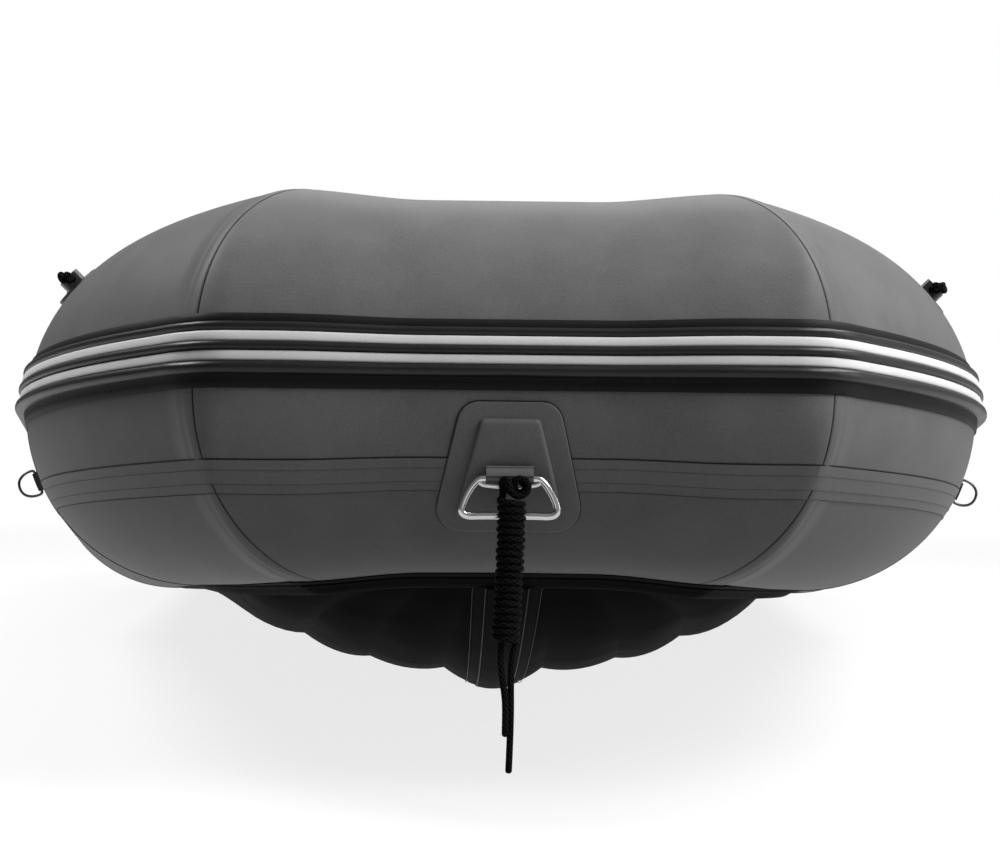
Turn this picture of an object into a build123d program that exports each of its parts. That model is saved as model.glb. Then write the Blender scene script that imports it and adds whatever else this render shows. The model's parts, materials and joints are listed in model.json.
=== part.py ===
from build123d import *
import os
from math import acos, asin, atan2, cos, degrees, radians, sin, sqrt, tan

os.makedirs("parts", exist_ok=True)

# Inflatable boat resting on its keel and its stern tubes, bow towards -Y, port towards +X
TUBE_R = 215.0
SIDE_X = 555.0
BOW_Z = 430.0
BOW_HALF = 216.0
BOW_TURN = 51.5
BOW_WAIST = 7.5
WAIST_START = 40.0
SHOULDER_R = 785.0
FLARE = 8.5
CONE_RUN = 2760.0
CONE_LENGTH = 300.0
CONE_TIP_R = 95.0
CONE_TIP_ROUND = 25.0
SEAT_GAP = 0.3

# Rub strake, measured round the skin from its upper edge
STRAKE_UP = 20.0
STRAKE_HEIGHT = 76.0
BEAD_HEIGHT = 14.0
BEAD_LOW_ARC = 60.0

# Resting slope of the tubes, and the directions that follow from it
slope = asin(BOW_Z / sqrt(CONE_RUN**2 + TUBE_R**2)) - atan2(TUBE_R, CONE_RUN)
across = Vector(1, 0, 0)
along = Vector(0, cos(slope), -sin(slope))
up = Vector(0, sin(slope), cos(slope))
strake_angle = STRAKE_UP / TUBE_R
bead_angle = strake_angle + (STRAKE_HEIGHT / 2 - BEAD_LOW_ARC) / TUBE_R + slope
front_reach = (TUBE_R + BEAD_HEIGHT) * cos(bead_angle)
aft_reach = (CONE_RUN + CONE_LENGTH) * cos(slope) + (CONE_TIP_R - CONE_TIP_ROUND) * sin(slope)
BOW_AXIS_Y = (front_reach - aft_reach) / 2

# Corners of the tubes' axes on the port side, as distances across and aft
bow_turn = radians(BOW_TURN)
side_turn = radians(90 - FLARE)
SHOULDER_X = BOW_HALF + SHOULDER_R * (sin(side_turn) - sin(bow_turn))
SHOULDER_RUN = SHOULDER_R * (cos(bow_turn) - cos(side_turn))
QUARTER_RUN = SHOULDER_RUN + (SIDE_X - SHOULDER_X) / tan(radians(FLARE))


def hull_point(x, run, height):
    """A point by its distances across, aft of the bow's axis and above the tubes' axes."""
    return Vector(x, BOW_AXIS_Y, BOW_Z) + along * run + up * height


def heading(turn):
    """Direction of a tube that has turned this far from the bow tube."""
    return across * cos(turn) + along * sin(turn)


def axis_turn(run):
    if run < SHOULDER_RUN:
        return acos(cos(bow_turn) - max(run, 0) / SHOULDER_R)
    return side_turn if run < QUARTER_RUN else radians(90)


def axis_x(run):
    if run < SHOULDER_RUN:
        return BOW_HALF + SHOULDER_R * (sin(axis_turn(run)) - sin(bow_turn))
    if run < QUARTER_RUN:
        return SHOULDER_X + (run - SHOULDER_RUN) * tan(radians(FLARE))
    return SIDE_X


def floor_height(run):
    """Height of the ground below the tubes' axes at a station."""
    return (run * sin(slope) - BOW_Z) / cos(slope)


def cross_plane(x, run, turn):
    """Plane across a tube: local X out of the boat, local Y up."""
    out = across * sin(turn) - along * cos(turn)
    return Plane(origin=hull_point(x, run, 0), x_dir=out, z_dir=-heading(turn))


bow_plane = cross_plane(0, 0, 0)
corner_plane = cross_plane(BOW_HALF, 0, bow_turn)
shoulder_plane = cross_plane(SHOULDER_X, SHOULDER_RUN, side_turn)
quarter_plane = cross_plane(SIDE_X, QUARTER_RUN, radians(90))
bow_mitre = Plane(origin=corner_plane.origin, z_dir=heading(bow_turn / 2))
far_corner = hull_point(-BOW_HALF, 0, 0)
bow_mitre_far = Plane(origin=far_corner, z_dir=along * sin(bow_turn / 2) - across * cos(bow_turn / 2))
quarter_mitre = Plane(origin=quarter_plane.origin, z_dir=heading((side_turn + radians(90)) / 2))
bend_axis = Axis(corner_plane.origin - corner_plane.x_dir * SHOULDER_R, up)
bow_end = BOW_HALF + TUBE_R * tan(bow_turn / 2) + 40
corner_overlap = TUBE_R * tan(bow_turn / 2) + 40
quarter_overlap = 60.0


def export_piece(piece, node):
    piece.label = node
    export_step(piece, f"parts/{node}.step")


def export_pair(piece, name):
    """The port piece and its mirror image."""
    export_piece(piece, f"{name}_port")
    with BuildPart() as other:
        mirror(piece, about=Plane.YZ)
    export_piece(other.part, f"{name}_starboard")


def export_both(piece, node):
    """The port piece and its mirror image as one node."""
    with BuildPart() as both:
        add(piece)
        mirror(piece, about=Plane.YZ)
    export_piece(both.part, node)


def ring_profile(plane, radius):
    with BuildSketch(plane) as profile:
        Circle(radius)
    return profile.sketch


def bow_run(draw):
    """A profile along the bow tube, trimmed at both mitres."""
    with BuildPart() as run:
        extrude(draw(cross_plane(-bow_end, 0, 0)), amount=2 * bow_end, dir=across)
        split(bisect_by=bow_mitre, keep=Keep.BOTTOM)
        split(bisect_by=bow_mitre_far, keep=Keep.BOTTOM)
    return run.part


def shoulder_run(draw):
    """A profile round the shoulder's bend, trimmed at the mitre."""
    with BuildPart() as run:
        extrude(draw(corner_plane), amount=corner_overlap, dir=-heading(bow_turn))
        revolve(draw(corner_plane), axis=bend_axis, revolution_arc=90 - FLARE - BOW_TURN)
        split(bisect_by=bow_mitre, keep=Keep.TOP)
    return run.part


def forward_run(draw):
    length = (quarter_plane.origin - shoulder_plane.origin).length
    with BuildPart() as run:
        extrude(draw(shoulder_plane), amount=length + quarter_overlap, dir=heading(side_turn))
        split(bisect_by=quarter_mitre, keep=Keep.BOTTOM)
    return run.part


def stern_run(draw, end_run=CONE_RUN):
    with BuildPart() as run:
        start = cross_plane(SIDE_X, QUARTER_RUN - quarter_overlap, radians(90))
        extrude(draw(start), amount=end_run - QUARTER_RUN + quarter_overlap, dir=along)
        split(bisect_by=quarter_mitre, keep=Keep.TOP)
    return run.part


def bow_barrel(extra):
    """The bow tube's drawn-in body of revolution, grown by a margin."""
    radius = TUBE_R + extra
    waist = radius - BOW_WAIST
    start = BOW_HALF - WAIST_START
    half = start / 2
    with BuildPart() as barrel:
        with BuildSketch(Plane(origin=hull_point(0, 0, 0), x_dir=across, z_dir=-along)):
            with BuildLine():
                left = Polyline((-start, radius), (-bow_end, radius), (-bow_end, 0), (0, 0))
                right = Polyline(left @ 1, (bow_end, 0), (bow_end, radius), (start, radius))
                bend = (start * 0.75, radius - BOW_WAIST / 8)
                a = ThreePointArc(right @ 1, bend, (half, waist + BOW_WAIST / 2))
                b = ThreePointArc(a @ 1, (0, waist), (-half, waist + BOW_WAIST / 2))
                ThreePointArc(b @ 1, (-bend[0], bend[1]), left @ 0)
            make_face()
        revolve(axis=Axis(hull_point(0, 0, 0), across))
    return barrel.part


# Buoyancy tubes
with BuildPart() as bow_tube:
    add(bow_barrel(0))
    split(bisect_by=bow_mitre, keep=Keep.BOTTOM)
    split(bisect_by=bow_mitre_far, keep=Keep.BOTTOM)
export_piece(bow_tube.part, "bow_tube")

side_runs = (("shoulder_tube", shoulder_run), ("forward_tube", forward_run), ("stern_tube", stern_run))
for name, trimmed_run in side_runs:
    with BuildPart() as tube:
        add(trimmed_run(lambda plane: ring_profile(plane, TUBE_R)))
    export_pair(tube.part, name)

# Stern cones
cone_root = hull_point(SIDE_X, CONE_RUN, 0)
with BuildPart() as cone:
    with BuildSketch(Plane(origin=cone_root, x_dir=up, z_dir=up.cross(along))):
        with BuildLine():
            root = Line((0, 0), (TUBE_R, 0))
            flank = TangentArc(root @ 1, (CONE_TIP_R, CONE_LENGTH - CONE_TIP_ROUND), tangent=(0, 1))
            tip = TangentArc(flank @ 1, (CONE_TIP_R - CONE_TIP_ROUND, CONE_LENGTH), tangent=flank % 1)
            end = Line(tip @ 1, (0, CONE_LENGTH))
            Line(end @ 1, root @ 0)
        make_face()
    revolve(axis=Axis(cone_root, along))
export_pair(cone.part, "stern_cone")

# Outer shape of the tubes with the seating gap, for what lies against them
gap_profile = lambda plane: ring_profile(plane, TUBE_R + SEAT_GAP)
bow_cutter = bow_barrel(SEAT_GAP)
side_cutters = [shoulder_run(gap_profile), forward_run(gap_profile), stern_run(gap_profile)]
with BuildPart() as far_sides:
    for cutter in side_cutters:
        mirror(cutter, about=Plane.YZ)
with BuildPart() as bow_cut:
    add(bow_cutter)
    split(bisect_by=bow_mitre, keep=Keep.BOTTOM)
    split(bisect_by=bow_mitre_far, keep=Keep.BOTTOM)
hull_cutters = side_cutters + [far_sides.part, bow_cut.part]

# Rub strake: distance round the skin from its upper edge, height over the skin
STRIPE_FLOOR = 6.0
STRIPE_TOP = 8.5
STRIPES = ((20.2, 29.3), (38.2, 47.3))
STRAKE_OUTLINE = (
    (0.0, 2.5), (14.0, 3.5), (14.5, 8.0), (19.5, 9.0), (20.0, STRIPE_FLOOR), (29.5, STRIPE_FLOOR), (30.0, 11.0),
    (37.5, 11.0), (38.0, STRIPE_FLOOR), (47.5, STRIPE_FLOOR), (48.0, BEAD_HEIGHT - 2), (50.0, BEAD_HEIGHT),
    (BEAD_LOW_ARC, BEAD_HEIGHT), (BEAD_LOW_ARC + 2, 3.5), (STRAKE_HEIGHT, 2.5),
)


def on_skin(arc, height):
    angle = strake_angle + (STRAKE_HEIGHT / 2 - arc) / TUBE_R
    return ((TUBE_R + height) * cos(angle), (TUBE_R + height) * sin(angle))


def strake_profile(plane, back=SEAT_GAP):
    outline = [on_skin(0, back)] + [on_skin(arc, height) for arc, height in STRAKE_OUTLINE]
    with BuildSketch(plane) as profile:
        with BuildLine():
            skin = Polyline(*outline, on_skin(STRAKE_HEIGHT, back))
            ThreePointArc(skin @ 1, on_skin(STRAKE_HEIGHT / 2, back), skin @ 0)
        make_face()
    return profile.sketch


def stripe_profile(plane, first_arc, last_arc):
    with BuildSketch(plane) as profile:
        with BuildLine():
            Polyline(
                on_skin(first_arc, STRIPE_FLOOR), on_skin(first_arc, STRIPE_TOP),
                on_skin(last_arc, STRIPE_TOP), on_skin(last_arc, STRIPE_FLOOR), close=True,
            )
        make_face()
    return profile.sketch


with BuildPart() as rub_strake:
    add(bow_run(lambda plane: strake_profile(plane, -BOW_WAIST - 2)))
    add(bow_cutter, mode=Mode.SUBTRACT)
    for trimmed_run in (shoulder_run, forward_run, stern_run):
        add(trimmed_run(strake_profile))
        mirror(trimmed_run(strake_profile), about=Plane.YZ)
export_piece(rub_strake.part, "rub_strake")

for stripe_name, (first_arc, last_arc) in zip(("upper", "lower"), STRIPES):
    stripe_face = lambda plane: stripe_profile(plane, first_arc, last_arc)
    with BuildPart() as stripe:
        add(bow_run(stripe_face))
        for trimmed_run in (shoulder_run, forward_run, stern_run):
            add(trimmed_run(stripe_face))
            mirror(trimmed_run(stripe_face), about=Plane.YZ)
    export_piece(stripe.part, f"strake_stripe_{stripe_name}")

# Transom board
TRANSOM_RUN = 2480.0
TRANSOM_THICK = 36.0
TRANSOM_RAKE = 8.0
TRANSOM_FOOT = 30.0
TRANSOM_HEIGHT = 400.0
TRANSOM_SHOULDER = 318.0
TRANSOM_FOOT_HALF = 400.0
TRANSOM_SHOULDER_HALF = 430.0
TRANSOM_TOP_HALF = 230.0
TRANSOM_KEEL_HALF = 60.0
rake = radians(TRANSOM_RAKE)
transom_root = hull_point(0, TRANSOM_RUN, floor_height(TRANSOM_RUN) + 8)
transom_plane = Plane(origin=transom_root, x_dir=across, z_dir=-along * cos(rake) + up * sin(rake))
with BuildPart() as transom_board:
    with BuildSketch(transom_plane):
        with BuildLine():
            Polyline(
                (-TRANSOM_FOOT_HALF, TRANSOM_FOOT), (-TRANSOM_KEEL_HALF, 0), (TRANSOM_KEEL_HALF, 0),
                (TRANSOM_FOOT_HALF, TRANSOM_FOOT), (TRANSOM_SHOULDER_HALF, TRANSOM_SHOULDER),
                (TRANSOM_TOP_HALF, TRANSOM_HEIGHT), (-TRANSOM_TOP_HALF, TRANSOM_HEIGHT),
                (-TRANSOM_SHOULDER_HALF, TRANSOM_SHOULDER), close=True,
            )
        make_face()
    extrude(amount=-TRANSOM_THICK)
    for cutter in hull_cutters:
        add(cutter, mode=Mode.SUBTRACT)
export_piece(transom_board.part, "transom_board")

# Motor plates on the transom: distance behind its front face, height, width
PLATE_THICK = 6.0
PLATE_DOWN = 12.0
PLATES = (("motor_plate_inner", -PLATE_THICK, 190.0, 300.0), ("motor_plate_outer", TRANSOM_THICK, 240.0, 300.0))
for node, behind, plate_height, plate_width in PLATES:
    with BuildPart() as plate:
        with BuildSketch(transom_plane.offset(-behind)):
            with Locations((0, TRANSOM_HEIGHT - plate_height / 2 - PLATE_DOWN)):
                RectangleRounded(plate_width, plate_height, 18)
        extrude(amount=-PLATE_THICK)
    export_piece(plate.part, node)

# Holders that clasp the transom's edges to the tubes
HOLDER_REACH = 46.0
HOLDER_THICK = 14.0
HOLDER_SPAN = (-104.0, -45.0)
with BuildPart() as holder:
    for face, amount in ((transom_plane, HOLDER_THICK), (transom_plane.offset(-TRANSOM_THICK), -HOLDER_THICK)):
        with BuildSketch(face):
            centre_y = -(transom_root - hull_point(0, TRANSOM_RUN, 0)).dot(up)
            with Locations((SIDE_X, centre_y)):
                Circle(TUBE_R + HOLDER_REACH)
                Circle(TUBE_R - 4, mode=Mode.SUBTRACT)
                with Locations((HOLDER_SPAN[1] + TUBE_R, 0)):
                    Rectangle(2 * TUBE_R, 3 * TUBE_R, mode=Mode.SUBTRACT)
                with Locations((0, HOLDER_SPAN[0] - TUBE_R)):
                    Rectangle(3 * TUBE_R, 2 * TUBE_R, mode=Mode.SUBTRACT)
        extrude(amount=amount)
    for cutter in side_cutters:
        add(cutter, mode=Mode.SUBTRACT)
export_both(holder.part, "transom_holders")

# Drain valve on the transom's aft face
DRAIN_R = 26.0
DRAIN_HEIGHT = 12.0
DRAIN_PLACE = (-190.0, 75.0)
with BuildPart() as drain_valve:
    with BuildSketch(transom_plane.offset(-TRANSOM_THICK)):
        with Locations(DRAIN_PLACE):
            Circle(DRAIN_R)
    extrude(amount=-DRAIN_HEIGHT, taper=10)
export_piece(drain_valve.part, "drain_valve")

# Air floor: seven lobes below, flat deck above
FLOOR_INSET = 12.0
FLOOR_START = 6.0
DECK_BELOW_AXIS = 120.0
KEEL_TOUCH_RUN = 900.0
KEEL_RISE = 142.0
SEAM_UP = 5.0
LOBE_EDGES = (0.163, 0.411, 0.629, 1.0)
LOBE_RISE = (0.187, 0.293, 0.513, 1.0)
LOBE_SAG = (9.0, 10.0, 14.0)
LOBE_FULL_DEPTH = 130.0
GUARD_HALF = 22.0
GUARD_THICK = 3.0
BOW_STATIONS = (FLOOR_START, 200.0, 420.0, 660.0, KEEL_TOUCH_RUN)
AFT_STATIONS = (KEEL_TOUCH_RUN, QUARTER_RUN, TRANSOM_RUN + 90)


def keel_height(run):
    ahead = max(0, KEEL_TOUCH_RUN - run) / (KEEL_TOUCH_RUN - FLOOR_START)
    return floor_height(KEEL_TOUCH_RUN if run < KEEL_TOUCH_RUN else run) + KEEL_RISE * ahead**2


def floor_depth(run):
    """Depth of the keel below the floor's seam with the tubes."""
    return max(-TUBE_R + SEAM_UP - keel_height(run) - GUARD_THICK - SEAT_GAP, 8)


def keel_arc(run):
    """Half width and rise of the keel lobe at a station."""
    return (axis_x(run) - FLOOR_INSET) * LOBE_EDGES[0], floor_depth(run) * LOBE_RISE[0]


def station_plane(run):
    return Plane(origin=hull_point(0, run, 0), x_dir=across, z_dir=-along)


def floor_section(run):
    half = axis_x(run) - FLOOR_INSET
    keel = keel_height(run) + GUARD_THICK + SEAT_GAP
    deep = floor_depth(run)
    fill = min(1, deep / LOBE_FULL_DEPTH)
    knots = [(half * edge, keel + deep * rise) for edge, rise in zip(LOBE_EDGES, LOBE_RISE)]
    lobes = [(k0, ((k0[0] + k1[0]) / 2, (k0[1] + k1[1]) / 2 - max(sag * fill, 1)), k1)
             for k0, k1, sag in zip(knots, knots[1:], LOBE_SAG)]
    with BuildSketch(station_plane(run)) as section:
        with BuildLine():
            for k0, low, k1 in reversed(lobes):
                ThreePointArc((-k1[0], k1[1]), (-low[0], low[1]), (-k0[0], k0[1]))
            ThreePointArc((-knots[0][0], knots[0][1]), (0, keel), knots[0])
            for k0, low, k1 in lobes:
                ThreePointArc(k0, low, k1)
            Polyline(knots[3], (half, -DECK_BELOW_AXIS), (-half, -DECK_BELOW_AXIS), (-half, knots[3][1]))
        make_face()
    return section.sketch


def guard_section(run):
    keel = keel_height(run)
    half, rise = keel_arc(run)
    lift = rise * (GUARD_HALF / half) ** 2
    with BuildSketch(station_plane(run)) as section:
        with BuildLine():
            low = ThreePointArc((-GUARD_HALF, keel + lift), (0, keel), (GUARD_HALF, keel + lift))
            side = Line(low @ 1, (GUARD_HALF, keel + lift + GUARD_THICK))
            top = ThreePointArc(side @ 1, (0, keel + GUARD_THICK), (-GUARD_HALF, keel + lift + GUARD_THICK))
            Line(top @ 1, low @ 0)
        make_face()
    return section.sketch


transom_front = transom_plane.offset(SEAT_GAP)
for node, section in (("air_floor", floor_section), ("keel_guard", guard_section)):
    with BuildPart() as floor_piece:
        loft([section(run) for run in BOW_STATIONS])
        loft([section(run) for run in AFT_STATIONS], ruled=True)
        split(bisect_by=transom_front, keep=Keep.TOP)
        for cutter in hull_cutters:
            add(cutter, mode=Mode.SUBTRACT)
    export_piece(floor_piece.part, node)

# Seat rails on the stern tubes, set round the tube from its top towards the inside
RAIL_TURN = 42.4
RAIL_WIDTH = 25.0
RAIL_LIFT = 3.2
RAIL_CLEAR = 43.0
RAIL_LENGTH = 800.0
rail_start = QUARTER_RUN + RAIL_CLEAR
rail_out = TUBE_R * sin(radians(RAIL_TURN))
rail_in = rail_out + RAIL_WIDTH
rail_top = TUBE_R * cos(radians(RAIL_TURN)) + RAIL_LIFT
with BuildPart() as rail:
    with BuildSketch(cross_plane(SIDE_X, rail_start, radians(90))):
        with BuildLine():
            reach = TUBE_R + SEAT_GAP
            top = Polyline(
                (-rail_out, sqrt(reach**2 - rail_out**2)), (-rail_out, rail_top), (-rail_in, rail_top),
                (-rail_in, sqrt(reach**2 - rail_in**2)),
            )
            middle = (rail_out + rail_in) / 2
            ThreePointArc(top @ 1, (-middle, sqrt(reach**2 - middle**2)), top @ 0)
        make_face()
    extrude(amount=RAIL_LENGTH, dir=along)
export_pair(rail.part, "seat_rail")

# Bench seats with hooks that run beside the rails: distance aft of the rails' start
SEATS = (("seat_forward", 190.0), ("seat_aft", 600.0))
SEAT_LENGTH = 230.0
SEAT_THICK = 18.0
SEAT_END_GAP = 4.0
SEAT_CORNER = 35.0
SEAT_EDGE = 5.0
HOOK_DROP = 16.0
HOOK_THICK = 14.0
HOOK_LENGTH = 160.0
HOOK_SIDE_GAP = 1.0
for node, from_start in SEATS:
    seat_plane = Plane(origin=hull_point(0, rail_start + from_start, rail_top + SEAT_GAP), x_dir=across, z_dir=up)
    with BuildPart() as seat:
        with BuildSketch(seat_plane):
            RectangleRounded(2 * (SIDE_X - rail_out - SEAT_END_GAP), SEAT_LENGTH, SEAT_CORNER)
        extrude(amount=SEAT_THICK)
        fillet(seat.edges().group_by(Axis(seat_plane.origin, up))[-1], SEAT_EDGE)
        with BuildSketch(seat_plane):
            hook_x = SIDE_X - rail_in - HOOK_SIDE_GAP - HOOK_THICK / 2
            with Locations((hook_x, 0), (-hook_x, 0)):
                Rectangle(HOOK_THICK, HOOK_LENGTH)
        extrude(amount=-HOOK_DROP)
    export_piece(seat.part, node)

# Oarlocks on top of the stern tubes
OARLOCK_FROM_START = 390.0
OARLOCK_BASE_R = 48.0
OARLOCK_BASE_HEIGHT = 9.0
OARLOCK_BOSS_R = 20.0
OARLOCK_BOSS_HEIGHT = 42.0
OARLOCK_PIN_R = 6.0
OARLOCK_PIN_LENGTH = 30.0
OARLOCK_PIN_GAP = 0.08
COLLAR_R = 17.0
COLLAR_HEIGHT = 8.0
HORN_BORE_R = 26.0
HORN_WALL = 9.0
HORN_WIDTH = 22.0
HORN_MOUTH = 34.0
HORN_SINK = 3.0
oarlock_plane = Plane(origin=hull_point(SIDE_X, rail_start + OARLOCK_FROM_START, TUBE_R), x_dir=across, z_dir=up)
with BuildPart() as base:
    with BuildSketch(oarlock_plane.offset(-10)):
        Circle(OARLOCK_BASE_R)
    extrude(amount=10 + OARLOCK_BASE_HEIGHT)
    fillet(base.edges().group_by(Axis(oarlock_plane.origin, up))[-1], 5)
    with BuildSketch(oarlock_plane.offset(OARLOCK_BASE_HEIGHT)):
        Circle(OARLOCK_BOSS_R)
    extrude(amount=OARLOCK_BOSS_HEIGHT - OARLOCK_BASE_HEIGHT, taper=4)
    with BuildSketch(oarlock_plane.offset(OARLOCK_BOSS_HEIGHT)):
        Circle(OARLOCK_PIN_R + OARLOCK_PIN_GAP)
    extrude(amount=-OARLOCK_PIN_LENGTH - 2, mode=Mode.SUBTRACT)
    add(side_cutters[2], mode=Mode.SUBTRACT)
export_pair(base.part, "oarlock_base")

horn_height = OARLOCK_BOSS_HEIGHT + SEAT_GAP + COLLAR_HEIGHT + HORN_WALL + HORN_BORE_R - HORN_SINK
horn_plane = Plane(origin=oarlock_plane.origin + up * horn_height, x_dir=along, z_dir=across)
with BuildPart() as horn:
    with BuildSketch(oarlock_plane.offset(OARLOCK_BOSS_HEIGHT + SEAT_GAP)):
        Circle(COLLAR_R)
    extrude(amount=COLLAR_HEIGHT)
    with BuildSketch(horn_plane):
        Circle(HORN_BORE_R + HORN_WALL)
        Circle(HORN_BORE_R, mode=Mode.SUBTRACT)
        with Locations((0, HORN_BORE_R + HORN_WALL / 2)):
            Rectangle(HORN_MOUTH, HORN_BORE_R + HORN_WALL, mode=Mode.SUBTRACT)
    extrude(amount=HORN_WIDTH / 2, both=True)
    with BuildSketch(oarlock_plane.offset(OARLOCK_BOSS_HEIGHT + SEAT_GAP)):
        Circle(OARLOCK_PIN_R)
    extrude(amount=-OARLOCK_PIN_LENGTH)
export_pair(horn.part, "oarlock_horn")


def skin_frame(run, angle):
    """Frame on the port tube's skin: local Z out of the skin, local X along the tube towards the stern."""
    frame = cross_plane(axis_x(run), run, axis_turn(run))
    out = frame.x_dir * cos(radians(angle)) + frame.y_dir * sin(radians(angle))
    return Plane(origin=frame.origin + out * TUBE_R, x_dir=-frame.z_dir, z_dir=out)


# Lifelines on the outer sides, held by saddles
ROPE_D = 7.0
LIFELINE_ANGLE = 44.0
LIFELINE_SAG_ANGLE = 7.0
LIFELINE_RUNS = (340.0, 780.0, 1210.0, 1660.0, 2110.0, 2570.0)
SADDLE_R = 30.0
SADDLE_PAD = 4.0
SADDLE_LENGTH = 30.0
SADDLE_WIDTH = 26.0
ROPE_LIFT = 12.0
ROPE_TAIL = 34.0
STOP_KNOT_R = 9.0
with BuildPart() as saddles:
    for run in LIFELINE_RUNS:
        frame = skin_frame(run, LIFELINE_ANGLE)
        with BuildSketch(frame.offset(-4)):
            Circle(SADDLE_R)
        extrude(amount=4 + SADDLE_PAD)
        with BuildSketch(frame):
            RectangleRounded(SADDLE_LENGTH, SADDLE_WIDTH, 6)
        extrude(amount=ROPE_LIFT + ROPE_D / 2 + 4)
        with BuildSketch(Plane(origin=frame.origin + frame.z_dir * ROPE_LIFT, z_dir=frame.x_dir)):
            Circle(ROPE_D / 2 + SEAT_GAP)
        extrude(amount=SADDLE_LENGTH, both=True, mode=Mode.SUBTRACT)
    for cutter in side_cutters:
        add(cutter, mode=Mode.SUBTRACT)
export_pair(saddles.part, "lifeline_saddles")

# Between saddles: share of the gap, share of the sag
LIFELINE_SAGS = ((0.27, 0.7), (0.5, 1.0), (0.73, 0.7))
route = []
for run, next_run in zip(LIFELINE_RUNS, LIFELINE_RUNS[1:] + (None,)):
    frame = skin_frame(run, LIFELINE_ANGLE)
    hole = frame.origin + frame.z_dir * ROPE_LIFT
    route += [hole - frame.x_dir * ROPE_TAIL, hole + frame.x_dir * ROPE_TAIL]
    for share, sag in LIFELINE_SAGS if next_run else ():
        low = skin_frame(run + share * (next_run - run), LIFELINE_ANGLE - sag * LIFELINE_SAG_ANGLE)
        route.append(low.origin + low.z_dir * (ROPE_LIFT - 4 * sag))
radii = []
for before, corner, after in zip(route, route[1:], route[2:]):
    turn = radians(max((corner - before).get_angle(after - corner), 0.4))
    radii.append(0.45 * min((corner - before).length, (after - corner).length) / tan(turn / 2))
with BuildPart() as lifeline:
    with BuildLine() as line:
        FilletPolyline(*route, radius=radii)
    with BuildSketch(Plane(origin=line.line @ 0, z_dir=line.line % 0)):
        Circle(ROPE_D / 2)
    sweep()
    with Locations(route[0], route[-1]):
        Sphere(STOP_KNOT_R)
export_pair(lifeline.part, "lifeline")
print("lifeline bend radii", [round(r) for r in radii])

# Bow ring patch: depth of its top and bottom below the bow's axis, half widths there, thickness
PATCH_SHAPES = ((13.0, 146.0, 54.0, 77.0, 24.0, 1.6), (31.0, 132.0, 32.0, 57.0, 9.0, 5.0))
bow_front = Plane(origin=Vector(0, BOW_AXIS_Y, BOW_Z), x_dir=across, z_dir=(0, -1, 0))
with BuildPart() as bow_patch:
    for top, bottom, top_half, bottom_half, corner, thick in PATCH_SHAPES:
        with BuildPart(mode=Mode.PRIVATE) as shell:
            add(bow_barrel(SEAT_GAP + thick))
            with BuildSketch(bow_front) as outline:
                with BuildLine():
                    Polyline(
                        (-bottom_half, -bottom), (bottom_half, -bottom), (top_half, -top), (-top_half, -top),
                        close=True,
                    )
                make_face()
                fillet(outline.vertices(), corner)
            extrude(amount=TUBE_R + 50, mode=Mode.INTERSECT)
            add(bow_cutter, mode=Mode.SUBTRACT)
        add(shell.part)
export_piece(bow_patch.part, "bow_patch")

# Bow ring: a bent wire that hangs from the strap
RING_WIRE = 7.5
BAR_BELOW = 92.0
BAR_OFF = 11.0
RING_TOP_HALF = 29.0
RING_FOOT_HALF = 53.0
RING_DROP = 37.0
RING_TOP_BEND = 6.0
RING_FOOT_BEND = 13.0
STRAP_HALF = 22.0
STRAP_WALL = 3.0
STRAP_TAIL = 18.0
bar_radius = TUBE_R - BOW_WAIST + PATCH_SHAPES[1][5] + BAR_OFF
bar_point = Vector(0, BOW_AXIS_Y - sqrt(bar_radius**2 - BAR_BELOW**2), BOW_Z - BAR_BELOW)
ring_corners = (
    (-RING_TOP_HALF, 0), (RING_TOP_HALF, 0), (RING_FOOT_HALF, -RING_DROP), (-RING_FOOT_HALF, -RING_DROP),
)
ring_bends = (RING_TOP_BEND, RING_TOP_BEND, RING_FOOT_BEND, RING_FOOT_BEND)
with BuildPart() as bow_ring:
    with BuildLine() as wire:
        FilletPolyline(*[bar_point + Vector(x, 0, z) for x, z in ring_corners], radius=ring_bends, close=True)
    with BuildSketch(Plane(origin=wire.line @ 0, z_dir=wire.line % 0)):
        Circle(RING_WIRE / 2)
    sweep()
export_piece(bow_ring.part, "bow_ring")

with BuildPart() as bow_strap:
    with BuildSketch(Plane(origin=bar_point + Vector(-STRAP_HALF, 0, 0), x_dir=(0, 1, 0), z_dir=across)):
        Circle(RING_WIRE / 2 + STRAP_WALL)
        with Locations((STRAP_WALL + 2, STRAP_TAIL / 2)):
            Rectangle(10, STRAP_TAIL)
        Circle(RING_WIRE / 2 + SEAT_GAP, mode=Mode.SUBTRACT)
    extrude(amount=2 * STRAP_HALF)
    add(bow_barrel(SEAT_GAP + PATCH_SHAPES[1][5] + 0.1), mode=Mode.SUBTRACT)
export_piece(bow_strap.part, "bow_strap")

# Painter: knot at the ring, wrapped hank that leans a little, and two hanging ends
HANK_R = 14.5
PAINTER_KNOT_R = 13.0
KNOT_X = 4.0
HANK_TOP = 116.0
HANK_BOTTOM = 256.0
HANK_TOP_X = -2.0
HANK_LEAN = -4.0
SHORT_END_LOW = 346.0
LONG_END_LOW = 385.0
hank_y = -(RING_WIRE / 2 + SEAT_GAP + HANK_R)
painter_root = bar_point + Vector(0, hank_y, BAR_BELOW)
knot_drop = HANK_TOP - PAINTER_KNOT_R - SEAT_GAP
knot_reach = RING_WIRE / 2 + STRAP_WALL + SEAT_GAP + PAINTER_KNOT_R
knot_y = -sqrt(knot_reach**2 - (knot_drop - BAR_BELOW) ** 2)
with BuildPart() as painter_knot:
    with Locations(bar_point + Vector(KNOT_X, knot_y, BAR_BELOW - knot_drop)):
        Sphere(PAINTER_KNOT_R)
export_piece(painter_knot.part, "painter_knot")

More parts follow.
